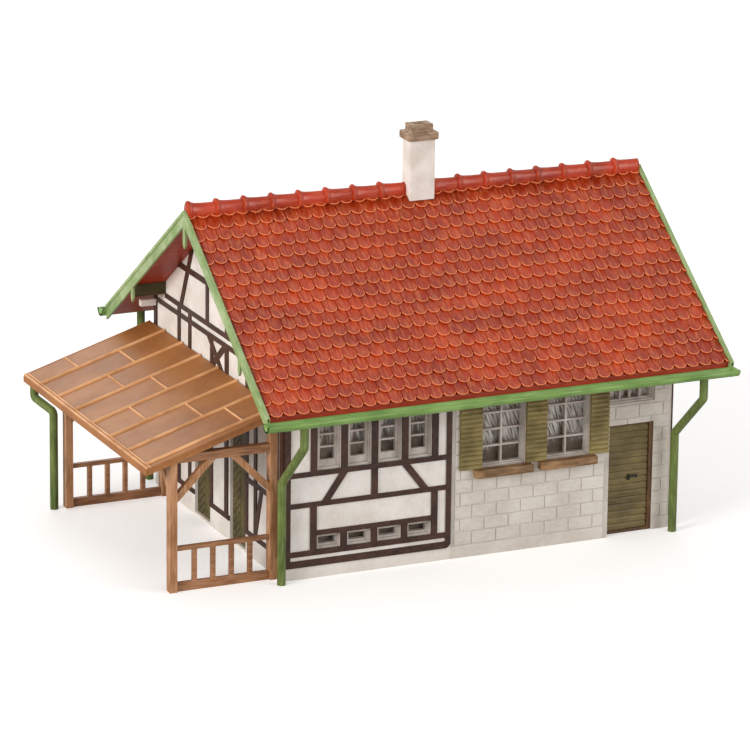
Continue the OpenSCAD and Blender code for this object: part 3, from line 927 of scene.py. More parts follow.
def places_tree() -> bpy.types.NodeTree:
    """Tree that sets one unit on each point, stretched by the size attribute.

    Returns:
        The finished tree.
    """
    kit = TreeKit(
        "units_on_places",
        {
            "Unit": "NodeSocketObject",
            "Seed": "NodeSocketInt",
            "Finish": "NodeSocketMaterial",
        },
    )
    unit = kit.add("GeometryNodeObjectInfo")
    kit.put(unit, "Object", kit.given["Unit"])
    size = kit.add("GeometryNodeInputNamedAttribute", data_type="FLOAT_VECTOR")
    kit.put(size, "Name", "size")
    laid = kit.add("GeometryNodeInstanceOnPoints")
    kit.put(laid, "Points", kit.given["Geometry"])
    kit.put(laid, "Instance", unit.outputs["Geometry"])
    kit.put(laid, "Scale", size.outputs[0])
    return kit.close(kit.toned(laid.outputs[0]))


def pipe_tree() -> bpy.types.NodeTree:
    """Tree that runs a round pipe with bent elbows along an open line.

    Returns:
        The finished tree.
    """
    kit = TreeKit(
        "pipe_on_line",
        {
            "Radius": "NodeSocketFloat",
            "Elbow": "NodeSocketFloat",
            "Sides": "NodeSocketInt",
            "Finish": "NodeSocketMaterial",
        },
    )
    line = kit.add("GeometryNodeMeshToCurve")
    kit.put(line, "Mesh", kit.given["Geometry"])
    bent = kit.add("GeometryNodeFilletCurve", mode="POLY")
    kit.put(bent, "Curve", line.outputs[0])
    kit.put(bent, "Count", 6)
    kit.put(bent, "Radius", kit.given["Elbow"])
    kit.put(bent, "Limit Radius", True)
    ring = kit.add("GeometryNodeCurvePrimitiveCircle")
    kit.put(ring, "Resolution", kit.given["Sides"])
    kit.put(ring, "Radius", kit.given["Radius"])
    pipe = kit.add("GeometryNodeCurveToMesh")
    kit.put(pipe, "Curve", bent.outputs[0])
    kit.put(pipe, "Profile Curve", ring.outputs[0])
    kit.put(pipe, "Fill Caps", True)
    return kit.close(pipe.outputs[0])


ROWS = rows_tree()
PLACES = places_tree()
PIPE = pipe_tree()


def grown(
    name: str,
    tree: bpy.types.NodeTree,
    values: dict[str, object],
    seed_mesh: bpy.types.Object,
) -> bpy.types.Object:
    """Runs a geometry tree and keeps its result as a plain mesh.

    Args:
        name: name of the piece.
        tree: the geometry tree.
        values: value of each named input.
        seed_mesh: object whose mesh the tree starts from.

    Returns:
        The piece, in the house frame of its seed mesh.
    """
    seed_mesh.name = name
    modifier = seed_mesh.modifiers.new("grow", "NODES")
    modifier.node_group = tree
    for socket in tree.interface.items_tree:
        if socket.in_out == "INPUT" and socket.name in values:
            modifier[socket.identifier] = values[socket.name]
    made = harvest(seed_mesh)
    unit = values.get("Unit")
    if unit:
        bpy.data.objects.remove(unit)
    return made


def empty_mesh(name: str) -> bpy.types.Object:
    """An object with an empty mesh, for a tree that makes its own points."""
    return as_object(name, bmesh.new())


def line_mesh(name: str, points: list[Point]) -> bpy.types.Object:
    """An open line of edges through the points.

    Args:
        name: name of the object.
        points: corners of the line in millimetres.

    Returns:
        The new object.
    """
    bm = bmesh.new()
    corners = [bm.verts.new(p) for p in points]
    for first, second in zip(corners, corners[1:]):
        bm.edges.new((first, second))
    return as_object(name, bm)


def placed_points(name: str, places: list[Placed]) -> bpy.types.Object:
    """Loose points that carry the size of the unit that stands on each.

    Args:
        name: name of the object.
        places: place and size of each unit.

    Returns:
        The new object.
    """
    mesh = bpy.data.meshes.new(name)
    mesh.from_pydata([p for p, _ in places], [], [])
    sizes = mesh.attributes.new("size", "FLOAT_VECTOR", "POINT")
    sizes.data.foreach_set("vector", [v for _, size in places for v in size])
    made = bpy.data.objects.new(name, mesh)
    bpy.context.scene.collection.objects.link(made)
    return made


@dataclass(frozen=True)
class Lapping:
    """Level boards or slats that lap one above the other."""

    finish: Moulding
    count: int
    worn: float
    wander: float

    def pitch(self, node: str) -> float:
        """Height that each board takes of a CAD node."""
        low, high = HOUSE.box(node)
        return (high.z - low.z) / self.count

    def lay(
        self, name: str, node: str, section: list[Flat], seed: int
    ) -> bpy.types.Object:
        """Lays the boards over a CAD node.

        Args:
            name: name of the piece.
            node: CAD node whose width, height and rear face they take.
            section: outline of one board, from the rear face and up.
            seed: seed of their wander.

        Returns:
            The piece, in the house frame.
        """
        low, high = HOUSE.box(node)
        bm = bmesh.new()
        prism(bm, section, 0.0, high.x - low.x, Way.X)
        unit = eased(as_object("board_unit", bm), self.worn, 1)
        unit.data.transform(Matrix.Rotation(math.radians(-90), 4, "X"))
        made = grown(
            name,
            ROWS,
            {
                "Unit": unit,
                "Columns": 1,
                "Rows": self.count,
                "Row Pitch": self.pitch(node),
                "Wander": math.radians(self.wander),
                "Seed": seed,
                "Finish": self.finish.material(),
            },
            empty_mesh(name),
        )
        made.data.transform(Matrix.Rotation(math.radians(90), 4, "X"))
        made.data.transform(Matrix.Translation((low.x, high.y, low.z)))
        return made


# ---------------------------------------------------------------- assemblies


class Assembly:
    """What every sub-assembly does with its pieces."""

    def settle(
        self, piece: bpy.types.Object, finish: Finish, slot: Slot, *stands_for: str
    ) -> None:
        """Puts a piece into the row frame, dresses it and fixes it to the body.

        Args:
            piece: object in the house frame.
            finish: its finish.
            slot: the record's material slot; not used.
            stands_for: CAD nodes that the piece replaces.
        """
        piece.data.transform(HOUSE.to_row())
        piece.data.materials.clear()
        piece.data.materials.append(finish.material())
        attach(piece, BODY)
        if stands_for:
            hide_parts(*stands_for)
        LOG.info("%s: %d faces", piece.name, len(piece.data.polygons))

    def mould(
        self,
        node: str,
        name: str,
        finish: Finish,
        slot: Slot,
        worn: float = EDGE,
        segments: int = 2,
    ) -> None:
        """Settles a CAD node's copy with rounded edges in its place.

        Args:
            node: name of the CAD node.
            name: name of the new piece.
            finish: its finish.
            slot: the record's material slot.
            worn: width of the rounding in millimetres.
            segments: steps of the rounding.
        """
        self.settle(softened(node, name, worn, segments), finish, slot, node)

    def dress(self, node: str, finish: Finish) -> None:
        """Gives a CAD node that stays its procedural finish.

        Args:
            node: name of the CAD node.
            finish: its finish.
        """
        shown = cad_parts[node]
        if not shown.material_slots:
            shown.data.materials.append(None)
        for place in shown.material_slots:
            place.material = finish.material()
        LOG.info("%s: CAD node dressed", node)


@dataclass
class Roof(Assembly):
    """Two slopes of scalloped tiles, their decks and the ridge caps."""

    pitch: float = math.radians(35.8)
    tile_pitch: float = 2.79
    tile_width: float = 2.73
    tile_length: float = 4.7
    course: float = 2.92
    rows: int = 18
    first_tile: float = -7.78
    tile_thick: float = 0.42
    tile_fall: float = 0.3
    deck_drop: float = 0.55
    cap_count: int = 8
    cap_radius: float = 2.3
    strip_reach: float = 1.15
    strip_rise: float = 0.3
    strip_thick: float = 0.5
    deck_back: float = 0.7
    tile_wander: float = 0.7
    cap_wander: float = 0.5
    cap_steps: int = 14
    cap_squeeze: float = 0.64

    def __post_init__(self) -> None:
        """Reads the slopes from the CAD boxes."""
        low, high = HOUSE.box("front_roof_slope")
        self.left, self.right = low.x, high.x
        self.eave_y, self.mid = low.y, high.y
        self.ridge = high.z
        self.run = self.mid - self.eave_y
        self.thick = self.ridge - low.z - self.run * math.tan(self.pitch)
        self.eave_z = self.ridge - self.run * math.tan(self.pitch)

    def slope_matrix(self, rear: bool) -> Matrix:
        """Matrix from a slope's own frame, up it and square to it, to the house.

        Args:
            rear: whether it is the rear slope.

        Returns:
            The matrix; X runs along the eave and Y up the slope.
        """
        c, s = math.cos(self.pitch), math.sin(self.pitch)
        if rear:
            depth = 2 * self.mid - self.eave_y
            columns = ((-1, 0, 0), (0, -c, s), (0, s, c))
            origin = (self.left + self.right, depth, self.eave_z)
        else:
            columns = ((1, 0, 0), (0, c, s), (0, -s, c))
            origin = (0, self.eave_y, self.eave_z)
        turned = Matrix(columns).transposed().to_4x4()
        return Matrix.Translation(origin) @ turned

    def tile(self) -> bpy.types.Object:
        """One scalloped tile with a rounded lip and a slightly sunk face."""
        bm = bmesh.new()
        rim = bm.verts.layers.float.new("rim")
        radius, fall = self.tile_width / 2, self.tile_fall / self.course
        rings = []
        # the third value of each ring is its share of the painted highlight on the lip
        for inset, drop, edge in (
            (0.0, self.tile_thick, 0.0),
            (0.0, 0.14, 0.4),
            (0.05, 0.03, 1.0),
            (0.15, 0.0, 0.8),
            (0.34, 0.08, 0.0),
        ):
            reach = radius - inset
            outline = [
                (reach * math.cos(a), radius - reach * math.sin(a))
                for a in (math.pi * i / 10 for i in range(11))
            ]
            outline += [(-reach, self.tile_length), (reach, self.tile_length)]
            ring = []
            for x, y in outline:
                vert = bm.verts.new((x, y, 0.05 - drop - fall * y))
                vert[rim] = edge if y < 0.9 * radius else 0.3 * edge
                ring.append(vert)
            rings.append(ring)
        for low, high in zip(rings, rings[1:]):
            for i in range(len(low)):
                j = (i + 1) % len(low)
                bm.faces.new((low[i], high[i], high[j], low[j]))
        bm.faces.new(rings[-1])
        bm.faces.new(rings[0])
        bmesh.ops.recalc_face_normals(bm, faces=bm.faces)
        return smoothed(as_object("tile_unit", bm))

    def tiles(self, rear: bool) -> bpy.types.Object:
        """All tiles of one slope, cut at the verges and the ridge.

        Args:
            rear: whether it is the rear slope.

        Returns:
            The piece, in the house frame.
        """
        name = "rear_tiles" if rear else "front_tiles"
        columns = math.ceil((self.right - self.first_tile) / self.tile_pitch) + 1
        made = grown(
            name,
            ROWS,
            {
                "Unit": self.tile(),
                "Columns": columns,
                "Rows": self.rows,
                "Column Pitch": self.tile_pitch,
                "Row Pitch": self.course,
                "Stagger": self.tile_pitch / 2,
                "Wander": math.radians(self.tile_wander),
                "Seed": 7 if rear else 3,
                "Finish": RED.material(),
            },
            empty_mesh(name),
        )
        made.data.transform(Matrix.Translation((self.first_tile, 0.05, 0)))
        made.data.transform(self.slope_matrix(rear))
        side = -1 if rear else 1
        cut_off(made, (self.left, 0, 0), (-1, 0, 0))
        cut_off(made, (self.right, 0, 0), (1, 0, 0))
        cut_off(made, (0, self.mid, 0), (0, side, 0))
        return made

    def deck(self, rear: bool) -> bpy.types.Object:
        """The slab under the tiles of one slope.

        Args:
            rear: whether it is the rear slope.

        Returns:
            The piece, in the house frame.
        """
        lower = self.eave_y + self.deck_back
        rise = math.tan(self.pitch)
        top = self.deck_drop / math.cos(self.pitch)
        outline = [
            (lower, self.eave_z + self.deck_back * rise - self.thick),
            (self.mid, self.ridge - self.thick),
            (self.mid, self.ridge - top),
            (lower, self.eave_z + self.deck_back * rise - top),
        ]
        if rear:
            outline = [(2 * self.mid - y, z) for y, z in outline]
        bm = bmesh.new()
        prism(bm, outline, self.left, self.right, Way.X)
        made = as_object("rear_roof_deck" if rear else "front_roof_deck", bm)
        return eased(made, EDGE)

    def cap(self, length: float) -> bpy.types.Object:
        """One ridge cap: a collar at its porch end, then a falling half round.

        Args:
            length: pitch of the caps along the ridge.

        Returns:
            The unit, along X from its own origin.
        """
        profile = [
            (0.0, 0.84), (0.1, 0.95), (0.3, 1.0), (0.55, 0.98), (0.85, 0.88),
            (1.2, 0.8), (1.8, 0.75), (3.2, 0.71), (length - 0.6, 0.7),
            (length + 0.25, 0.73),
        ]
        steps, squeeze = self.cap_steps, self.cap_squeeze
        bm = bmesh.new()
        rings = []
        for x, share in profile:
            r = self.cap_radius * share
            angles = [math.radians(-112 + 224 * i / steps) for i in range(steps + 1)]
            spots = [(x, squeeze * r * math.sin(a), r * math.cos(a)) for a in angles]
            rings.append([bm.verts.new(spot) for spot in spots])
        for low, high in zip(rings, rings[1:]):
            for i in range(steps):
                bm.faces.new((low[i], low[i + 1], high[i + 1], high[i]))
            bm.faces.new((low[0], high[0], high[-1], low[-1]))
        bm.faces.new(rings[0])
        bm.faces.new(rings[-1])
        bmesh.ops.recalc_face_normals(bm, faces=bm.faces)
        return smoothed(as_object("cap_unit", bm))

    def caps(self, name: str, node: str) -> bpy.types.Object:
        """The caps of one part of the ridge.

        Args:
            name: name of the piece.
            node: CAD node that says where they lie.

        Returns:
            The piece, in the house frame.
        """
        low, high = HOUSE.box(node)
        pitch = (high.x - low.x) / self.cap_count
        made = grown(
            name,
            ROWS,
            {
                "Unit": self.cap(pitch),
                "Columns": self.cap_count,
                "Rows": 1,
                "Column Pitch": pitch,
                "Wander": math.radians(self.cap_wander),
                "Seed": 5,
                "Finish": RIDGE_RED.material(),
            },
            empty_mesh(name),
        )
        made.data.transform(Matrix.Translation((low.x, self.mid, self.ridge - 0.1)))
        cut_off(made, (high.x, 0, 0), (1, 0, 0))
        return made

    def strip(self, name: str, start: float, end: float) -> bpy.types.Object:
        """The bent strip that the ridge caps lie on.

        Args:
            name: name of the piece.
            start: where it starts along the ridge.
            end: where it ends.

        Returns:
            The piece, in the house frame.
        """
        c, s = math.cos(self.pitch), math.sin(self.pitch)
        reach, rise = self.strip_reach, self.strip_rise / math.cos(self.pitch)
        lower = (reach * c, self.ridge - reach * s)
        outline = [
            (self.mid - lower[0], lower[1] - self.strip_thick),
            (self.mid, self.ridge - self.strip_thick),
            (self.mid + lower[0], lower[1] - self.strip_thick),
            (self.mid + lower[0], lower[1] + rise),
            (self.mid, self.ridge + rise),
            (self.mid - lower[0], lower[1] + rise),
        ]
        bm = bmesh.new()
        prism(bm, outline, start, end, Way.X)
        return eased(as_object(name, bm), EDGE)

    def build(self) -> None:
        """Builds and settles the pieces of the roof."""
        for rear in (False, True):
            node = "rear_roof_slope" if rear else "front_roof_slope"
            self.settle(self.deck(rear), DECK_RED, Slot.ROOF, node)
            self.settle(self.tiles(rear), RED, Slot.ROOF)
        for side in ("left", "right"):
            node = f"{side}_ridge_caps"
            low, high = HOUSE.box(node)
            self.settle(self.caps(f"{side}_ridge", node), RIDGE_RED, Slot.ROOF, node)
            strip = self.strip(f"{side}_ridge_strip", low.x, high.x)
            self.settle(strip, RIDGE_RED, Slot.ROOF)


@dataclass
class Verges(Assembly):
    """Verge boards with their top strip, and the purlins behind them."""

    roof: Roof
    strip_high: float = 0.85
    strip_proud: float = 0.25
    strip_ahead: float = 0.3
    strip_in: float = 0.1
    strip_over: float = 0.02
    purlin_worn: float = 0.15

    def board(self, end: str, side: str) -> None:
        """Builds one verge board and its strip.

        Args:
            end: porch or door.
            side: front or rear.
        """
        node = f"{end}_verge_{side}"
        low, high = HOUSE.box(node)
        inner = high.x if end == "porch" else low.x
        thinner = Matrix.Translation((inner, 0, 0)) @ Matrix.Diagonal(
            (1 - self.strip_proud / (high.x - low.x), 1, 1, 1)
        )
        piece = softened(node, f"{end}_{side}_verge_board")
        piece.data.transform(thinner @ Matrix.Translation((-inner, 0, 0)))
        self.settle(piece, VERGE_GREEN, Slot.VERGE, node)
        roof = self.roof
        rise = math.tan(roof.pitch)
        lower = roof.eave_y - self.strip_ahead
        top = self.strip_ahead + roof.ridge
        outline = [
            (lower, top - (roof.mid - lower) * rise - self.strip_high),
            (roof.mid, top - self.strip_high),
            (roof.mid, top + self.strip_over),
            (lower, top + self.strip_over - (roof.mid - lower) * rise),
        ]
        if side == "rear":
            outline = [(2 * roof.mid - y, z) for y, z in outline]
        if end == "porch":
            start, stop = low.x, high.x - self.strip_in
        else:
            start, stop = low.x + self.strip_in, high.x
        bm = bmesh.new()
        prism(bm, outline, start, stop, Way.X)
        strip = eased(as_object(f"{end}_{side}_verge_strip", bm), EDGE)
        self.settle(strip, VERGE_GREEN, Slot.VERGE)

    def build(self) -> None:
        """Builds and settles the four verges and the two purlins."""
        for end in ("porch", "door"):
            for side in ("front", "rear"):
                self.board(end, side)
        for side in ("front", "rear"):
            name = f"{side}_purlin_beam"
            self.mould(
                f"{side}_purlin", name, PURLIN_GREEN, Slot.PURLIN, self.purlin_worn
            )


@dataclass
class Walls(Assembly):
    """Plastered panels between their timbers, and the block wall."""

    panel_proud: float = 0.14
    course: float = 2.68
    first_joint: float = 2.6
    block_pitch: float = 5.32
    joint: float = 0.26
    block_proud: float = 0.15
    odd_joint: float = 40.15
    even_joint: float = 37.55
    least_block: float = 0.35
    block_worn: float = 0.09
    blocks_from: float = 36.3
    blocks_top: float = 40.0
    blocks_short: float = 0.6
    bay_from: float = 70.4
    bay_top: float = 39.0
    bay_short: float = 0.3

    def panels(self, wall: str, timbers: str, way: Way, side: int) -> bpy.types.Object:
        """Slightly raised panels between the timbers of one wall.

        Args:
            wall: CAD node of the wall, with its openings.
            timbers: CAD node of its timbers.
            way: the axis square to the wall.
            side: minus one where the wall faces down its axis.

        Returns:
            The piece, in the house frame.
        """
        name = f"{wall}_panels"
        body = cad_mesh(wall)
        axis = 0 if way is Way.X else 1
        low, high = HOUSE.box(timbers)
        face = high[axis] if side < 0 else low[axis]
        shift = Vector((0, 0, 0))
        shift[axis] = side * self.panel_proud
        bmesh.ops.translate(body, verts=body.verts, vec=shift)
        made = as_object(name, body)
        cutter = as_object("panel_cutter", cad_mesh(timbers))
        skin = bmesh.new()
        first, last = Vector((low.x, low.y, -1.0)), Vector((high.x, high.y, 90.0))
        first[axis] = face + side * self.panel_proud * 1.5 if side < 0 else face - 0.02
        last[axis] = face + 0.02 if side < 0 else face + self.panel_proud * 1.5
        block(skin, tuple(first), tuple(last))
        slab = as_object("panel_slab", skin)
        for operation, other in (("INTERSECT", slab), ("DIFFERENCE", cutter)):
            trim = made.modifiers.new("trim", "BOOLEAN")
            trim.operation = operation
            trim.solver = "EXACT"
            trim.object = other
        harvest(made)
        for tool in (cutter, slab):
            bpy.data.objects.remove(tool)
        healed(made, WELD)
        return healed(eased(made, FINE_EDGE))

    def courses(
        self, x0: float, x1: float, top: float, holes: list[Hole], face: float
    ) -> list[Placed]:
        """Places and sizes of the blocks of one wall, cut round its openings.

        Args:
            x0: start of the blockwork.
            x1: its end.
            top: height of its top.
            holes: low and high corner of each opening.
            face: depth of the wall's face.

        Returns:
            The centre and the size of each block.
        """
        places = []
        row = 0
        z = self.first_joint
        while z < top:
            joint = self.even_joint if row % 2 else self.odd_joint
            x = joint - math.ceil((joint - x0) / self.block_pitch) * self.block_pitch
            while x < x1:
                half = self.joint / 2
                rect = (
                    max(x, x0) + half,
                    z + half,
                    min(x + self.block_pitch, x1) - half,
                    min(z + self.course, top) - half,
                )
                for part in self.cut_round([rect], holes):
                    wide, high = part[2] - part[0], part[3] - part[1]
                    if min(wide, high) > self.least_block:
                        centre = ((part[0] + part[2]) / 2, face, (part[1] + part[3]) / 2)
                        places.append((centre, (wide, 1.0, high)))
                x += self.block_pitch
            z += self.course
            row += 1
        return places

    def cut_round(self, parts: list[Rect], holes: list[Hole]) -> list[Rect]:
        """Cuts rectangles round the openings.

        Args:
            parts: the rectangles.
            holes: low and high corner of each opening.

        Returns:
            The rectangles that are left.
        """
        for (hx0, hz0), (hx1, hz1) in holes:
            left = []
            for x0, z0, x1, z1 in parts:
                if x1 <= hx0 or x0 >= hx1 or z1 <= hz0 or z0 >= hz1:
                    left.append((x0, z0, x1, z1))
                    continue
                left += [(x0, z0, hx0, z1)] if x0 < hx0 else []
                left += [(hx1, z0, x1, z1)] if x1 > hx1 else []
                inner = (max(x0, hx0), min(x1, hx1))
                left += [(inner[0], z0, inner[1], hz0)] if z0 < hz0 else []
                left += [(inner[0], hz1, inner[1], z1)] if z1 > hz1 else []
            parts = left
        return parts

    def plinth(self, start: float, end: float, face: float) -> Placed:
        """The plain plinth under the courses.

        Args:
            start: where it starts along the wall.
            end: where it ends.
            face: depth of the wall's face.

        Returns:
            Its centre and size.
        """
        high = self.first_joint - self.joint / 2
        return ((start + end) / 2, face, high / 2), (end - start, 1.0, high)

    def blocks(self, name: str, places: list[Placed]) -> bpy.types.Object:
        """Blocks of one wall, each with worn edges.

        Args:
            name: name of the piece.
            places: centre and size of each block.

        Returns:
            The piece, in the house frame.
        """
        bm = bmesh.new()
        block(bm, (-0.5, -self.block_proud, -0.5), (0.5, 0.1, 0.5))
        unit = as_object("block_unit", bm)
        unit.data.shade_flat()
        made = grown(
            name,
            PLACES,
            {"Unit": unit, "Seed": 11, "Finish": BLOCKWORK.material()},
            placed_points(name, places),
        )
        return eased(made, self.block_worn)

    def build(self, windows: "Windows") -> None:
        """Builds the panels and the blocks and dresses the CAD walls.

        Args:
            windows: sizes of the openings in the block wall.
        """
        sides = (
            ("front_timber_wall", "front_timbers", "front_wall_timbers", Way.Y, -1),
            ("porch_gable_wall", "porch_gable_timbers", "porch_end_timbers", Way.X, -1),
            ("door_gable_wall", "door_gable_timbers", "door_end_timbers", Way.X, 1),
            ("rear_wall", "rear_timbers", "rear_wall_timbers", Way.Y, 1),
        )
        for wall, timbers, name, way, side in sides:
            self.dress(wall, PLASTER)
            self.settle(self.panels(wall, timbers, way, side), PLASTER, Slot.PLASTER)
            self.mould(timbers, name, TIMBER, Slot.TIMBER, TIMBER_EDGE)
        self.dress("front_block_wall", MORTAR)
        self.dress("house_floor", FLOOR_GREY)
        main_end = HOUSE.box("right_shutter")[1].x - self.blocks_short
        holes = windows.block_holes()
        places = self.courses(self.blocks_from, main_end, self.blocks_top, holes, 0.0)
        places.append(self.plinth(HOUSE.box("front_timbers")[1].x, main_end, 0.0))
        self.settle(self.blocks("block_courses", places), BLOCKWORK, Slot.BLOCK)
        low, high = HOUSE.box("front_door_frame")
        trans_low, trans_high = HOUSE.box("transom_window")
        bay = [
            ((low.x, -1.0), (high.x, high.z)),
            ((low.x, trans_low.z + 0.5), (high.x, trans_high.z - 0.5)),
        ]
        bay_face = HOUSE.box("door_gable_timbers")[0].y
        end = HOUSE.length - self.bay_short
        places = self.courses(self.bay_from, end, self.bay_top, bay, bay_face)
        places.append(self.plinth(high.x + 0.1, end, bay_face))
        self.settle(self.blocks("bay_courses", places), BLOCKWORK, Slot.BLOCK)


@dataclass
class Windows(Assembly):
    """Window frames, glazing, printed curtains, shutters and sills."""

    slats: int = 15
    block_first: float = 42.0
    block_period: float = 14.1
    block_width: float = 9.6
    sill: float = 18.1
    height: float = 14.6
    tall_first: float = 6.8
    tall_period: float = 6.45
    tall_width: float = 5.1
    tall_sill: float = 21.8
    tall_height: float = 12.8
    rear_first: float = 12.5
    rear_period: float = 25.0
    card_thick: float = 0.25
    card_worn: float = 0.04
    card_split: float = 1.5
    sill_worn: float = 0.22

    def block_holes(self) -> list[Hole]:
        """Openings of the two windows in the block wall."""
        return [
            ((x, self.sill), (x + self.block_width, self.sill + self.height))
            for x in (self.block_first, self.block_first + self.block_period)
        ]

    def shutter(self, node: str, name: str) -> bpy.types.Object:
        """One shutter of lapped slats.

        Args:
            node: CAD node of the shutter.
            name: name of the piece.

        Returns:
            The piece, in the house frame.
        """
        slats = Lapping(SHUTTER_OLIVE, self.slats, 0.06, 0.15)
        pitch = slats.pitch(node)
        low, high = HOUSE.box(node)
        deep = high.y - low.y
        section = [
            (0.0, 0.0), (-deep, 0.04), (-deep, 0.45 * pitch), (-0.45 * deep, pitch),
            (0.0, pitch),
        ]
        return slats.lay(name, node, section, len(name))

    def card(
        self, name: str, low: Point, high: Point, finish: CurtainPrint, *stands_for: str
    ) -> None:
        """A printed card behind a row of windows.

        Args:
            name: name of the piece.
            low: its lowest corner.
            high: its highest corner.
            finish: its print.
            stands_for: CAD nodes that it replaces.
        """
        bm = bmesh.new()
        block(bm, low, high)
        made = eased(as_object(name, bm), self.card_worn, 1)
        self.settle(made, finish, Slot.CARD, *stands_for)

    def cards(self) -> None:
        """The printed cards behind all windows."""
        low, high = HOUSE.box("curtain_card")
        split = self.block_first - self.card_split
        thick = self.card_thick
        tall = CurtainPrint(
            "tall_curtains", self.tall_first + self.tall_width / 2, self.tall_period,
            self.tall_width / 2, self.tall_sill, self.tall_height, 0.3, 0.32,
        )
        wide = CurtainPrint(
            "wide_curtains", self.block_first + self.block_width / 2, self.block_period,
            self.block_width / 2, self.sill, self.height, 0.15, 0.28, 0.35,
        )
        self.card(
            "tall_window_card", tuple(low), (split, high.y, high.z), tall, "curtain_card"
        )
        self.card("wide_window_card", (split, low.y, low.z), tuple(high), wide)
        low, high = HOUSE.box("rear_panes")
        rear = CurtainPrint(
            "rear_curtains", self.rear_first + self.block_width / 2, self.rear_period,
            self.block_width / 2, self.sill, self.height, 0.15, 0.28, -0.35,
        )
        start, end = (low.x, low.y - thick, low.z), (high.x, low.y, high.z)
        self.card("rear_window_card", start, end, rear)
        low, high = HOUSE.box("transom_pane")
        transom = CurtainPrint(
            "transom_curtains", (low.x + high.x) / 2, high.x - low.x,
            (high.x - low.x) / 2, low.z, high.z - low.z, 0.1, 0.0,
        )
        start, end = (low.x, high.y, low.z), (high.x, high.y + thick, high.z)
        self.card("transom_card", start, end, transom)

    def build(self) -> None:
        """Builds and settles the pieces of the windows."""
        for node in ("front_panes", "transom_pane", "rear_panes"):
            self.dress(node, GLAZING)
        for node in (
            "front_casements", "block_wall_casements", "transom_window", "rear_casements"
        ):
            self.dress(node, FRAME_GREY)
        self.cards()
        for side in ("left", "middle", "right"):
            node = f"{side}_shutter"
            piece = self.shutter(node, f"{side}_slatted_shutter")
            self.settle(piece, SHUTTER_OLIVE, Slot.SHUTTER, node)
        for side in ("left", "right"):
            node, name = f"{side}_window_sill", f"{side}_worn_sill"
            self.mould(node, name, SILL_BROWN, Slot.SILL, self.sill_worn, 3)


@dataclass
class Doors(Assembly):
    """The boarded front door in its frame, and the two porch doors."""

    boards: int = 16
    handle_in: float = 4.35
    slant: float = 0.9
    slant_pitch: float = 1.7
    porch_doors_at: tuple[float, float] = (18.6, 36.9)
    porch_door_width: float = 8.0
    porch_door_low: float = 0.6
    porch_door_high: float = 24.6
    porch_door_back: Flat = (0.9, 1.72)
    slant_deep: Flat = (0.42, 0.95)
    slant_worn: float = 0.09
    least_board: float = 0.25

    def front_door(self) -> bpy.types.Object:
        """The front door's level boards."""
        boards = Lapping(DOOR_OLIVE, self.boards, 0.07, 0.1)
        pitch = boards.pitch("front_door")
        low, high = HOUSE.box("front_door")
        face = low.y + 0.4 - high.y
        section = [
            (0.0, 0.0), (face, 0.04), (face, 0.6 * pitch), (face + 0.3, 0.97 * pitch),
            (0.0, 0.97 * pitch),
        ]
        return boards.lay("front_door_boards", "front_door", section, 4)

    def handle(self) -> bpy.types.Object:
        """The lever handle on its plate."""
        low = HOUSE.box("front_door")[0]
        x, y = low.x + self.handle_in, low.y
        bm = bmesh.new()
        block(bm, (x, y, 10.9), (x + 0.5, y + 0.6, 12.1))
        block(bm, (x + 0.1, y, 11.55), (x + 2.1, y + 0.35, 11.95))
        block(bm, (x + 1.75, y, 11.3), (x + 2.1, y + 0.35, 11.7))
        return eased(as_object("front_door_handle", bm), 0.08)

    def slanted(self, inner: float, outer: float, foot: float) -> list[Flat]:
        """Outline of one slanting board, cut level at the door's ends.

        Args:
            inner: place of the board's end at the middle of the door.
            outer: place of its end at the door's edge.
            foot: height of its lower corner at the door's edge.

        Returns:
            The corners, or none where the door has no room for the board.
        """
        rise = abs(outer - inner) * self.slant
        tall = self.slant_pitch - 0.1
        corners = [
            (outer, foot), (inner, foot + rise),
            (inner, foot + rise + tall), (outer, foot + tall),
        ]
        for level, keep in ((self.porch_door_low, 1), (self.porch_door_high, -1)):
            kept: list[Flat] = []
            for (y0, z0), (y1, z1) in zip(corners, corners[1:] + corners[:1]):
                if (z0 - level) * keep >= 0:
                    kept.append((y0, z0))
                if (z0 - level) * (z1 - level) < 0:
                    kept.append((y0 + (y1 - y0) * (level - z0) / (z1 - z0), level))
            corners = kept
            if len(corners) < 3:
                return []
        return corners

    def porch_doors(self) -> bpy.types.Object:
        """Both porch doors, of boards that slant up to the middle."""
        bm = bmesh.new()
        half = self.porch_door_width / 2
        bottom, top = self.porch_door_low, self.porch_door_high
        front, rear = self.porch_door_back
        for start in self.porch_doors_at:
            middle = start + half
            block(bm, (front, start, bottom), (rear, middle + half, top))
            for side in (-1, 1):
                inner, outer = middle + side * 0.05, middle + side * (half - 0.04)
                foot = bottom - half * self.slant
                while foot < top:
                    corners = self.slanted(inner, outer, foot)
                    levels = [z for _, z in corners] or [0.0]
                    if max(levels) - min(levels) > self.least_board:
                        prism(bm, corners, *self.slant_deep, Way.X)
                    foot += self.slant_pitch
        bmesh.ops.recalc_face_normals(bm, faces=bm.faces)
        return healed(eased(as_object("porch_door_boards", bm), self.slant_worn, 1))

    def build(self) -> None:
        """Builds and settles the doors."""
        self.settle(self.front_door(), DOOR_OLIVE, Slot.SHUTTER, "front_door")
        self.settle(self.handle(), HANDLE_BLACK, Slot.SHUTTER)
        self.mould(
            "front_door_frame", "front_door_jambs", FRAME_BROWN, Slot.DOOR_FRAME, FINE_EDGE
        )
        self.settle(self.porch_doors(), PORCH_DOOR_OLIVE, Slot.SHUTTER, "porch_doors")


@dataclass
class Chimney(Assembly):
    """The plastered shaft and its two-step cap."""

    cap_worn: float = 0.25

    def build(self) -> None:
        """Builds and settles the chimney."""
        self.mould("chimney_shaft", "chimney_stack", STACK_WHITE, Slot.CHIMNEY)
        self.mould("chimney_cap", "chimney_slabs", CAP_BROWN, Slot.CAP, self.cap_worn, 3)


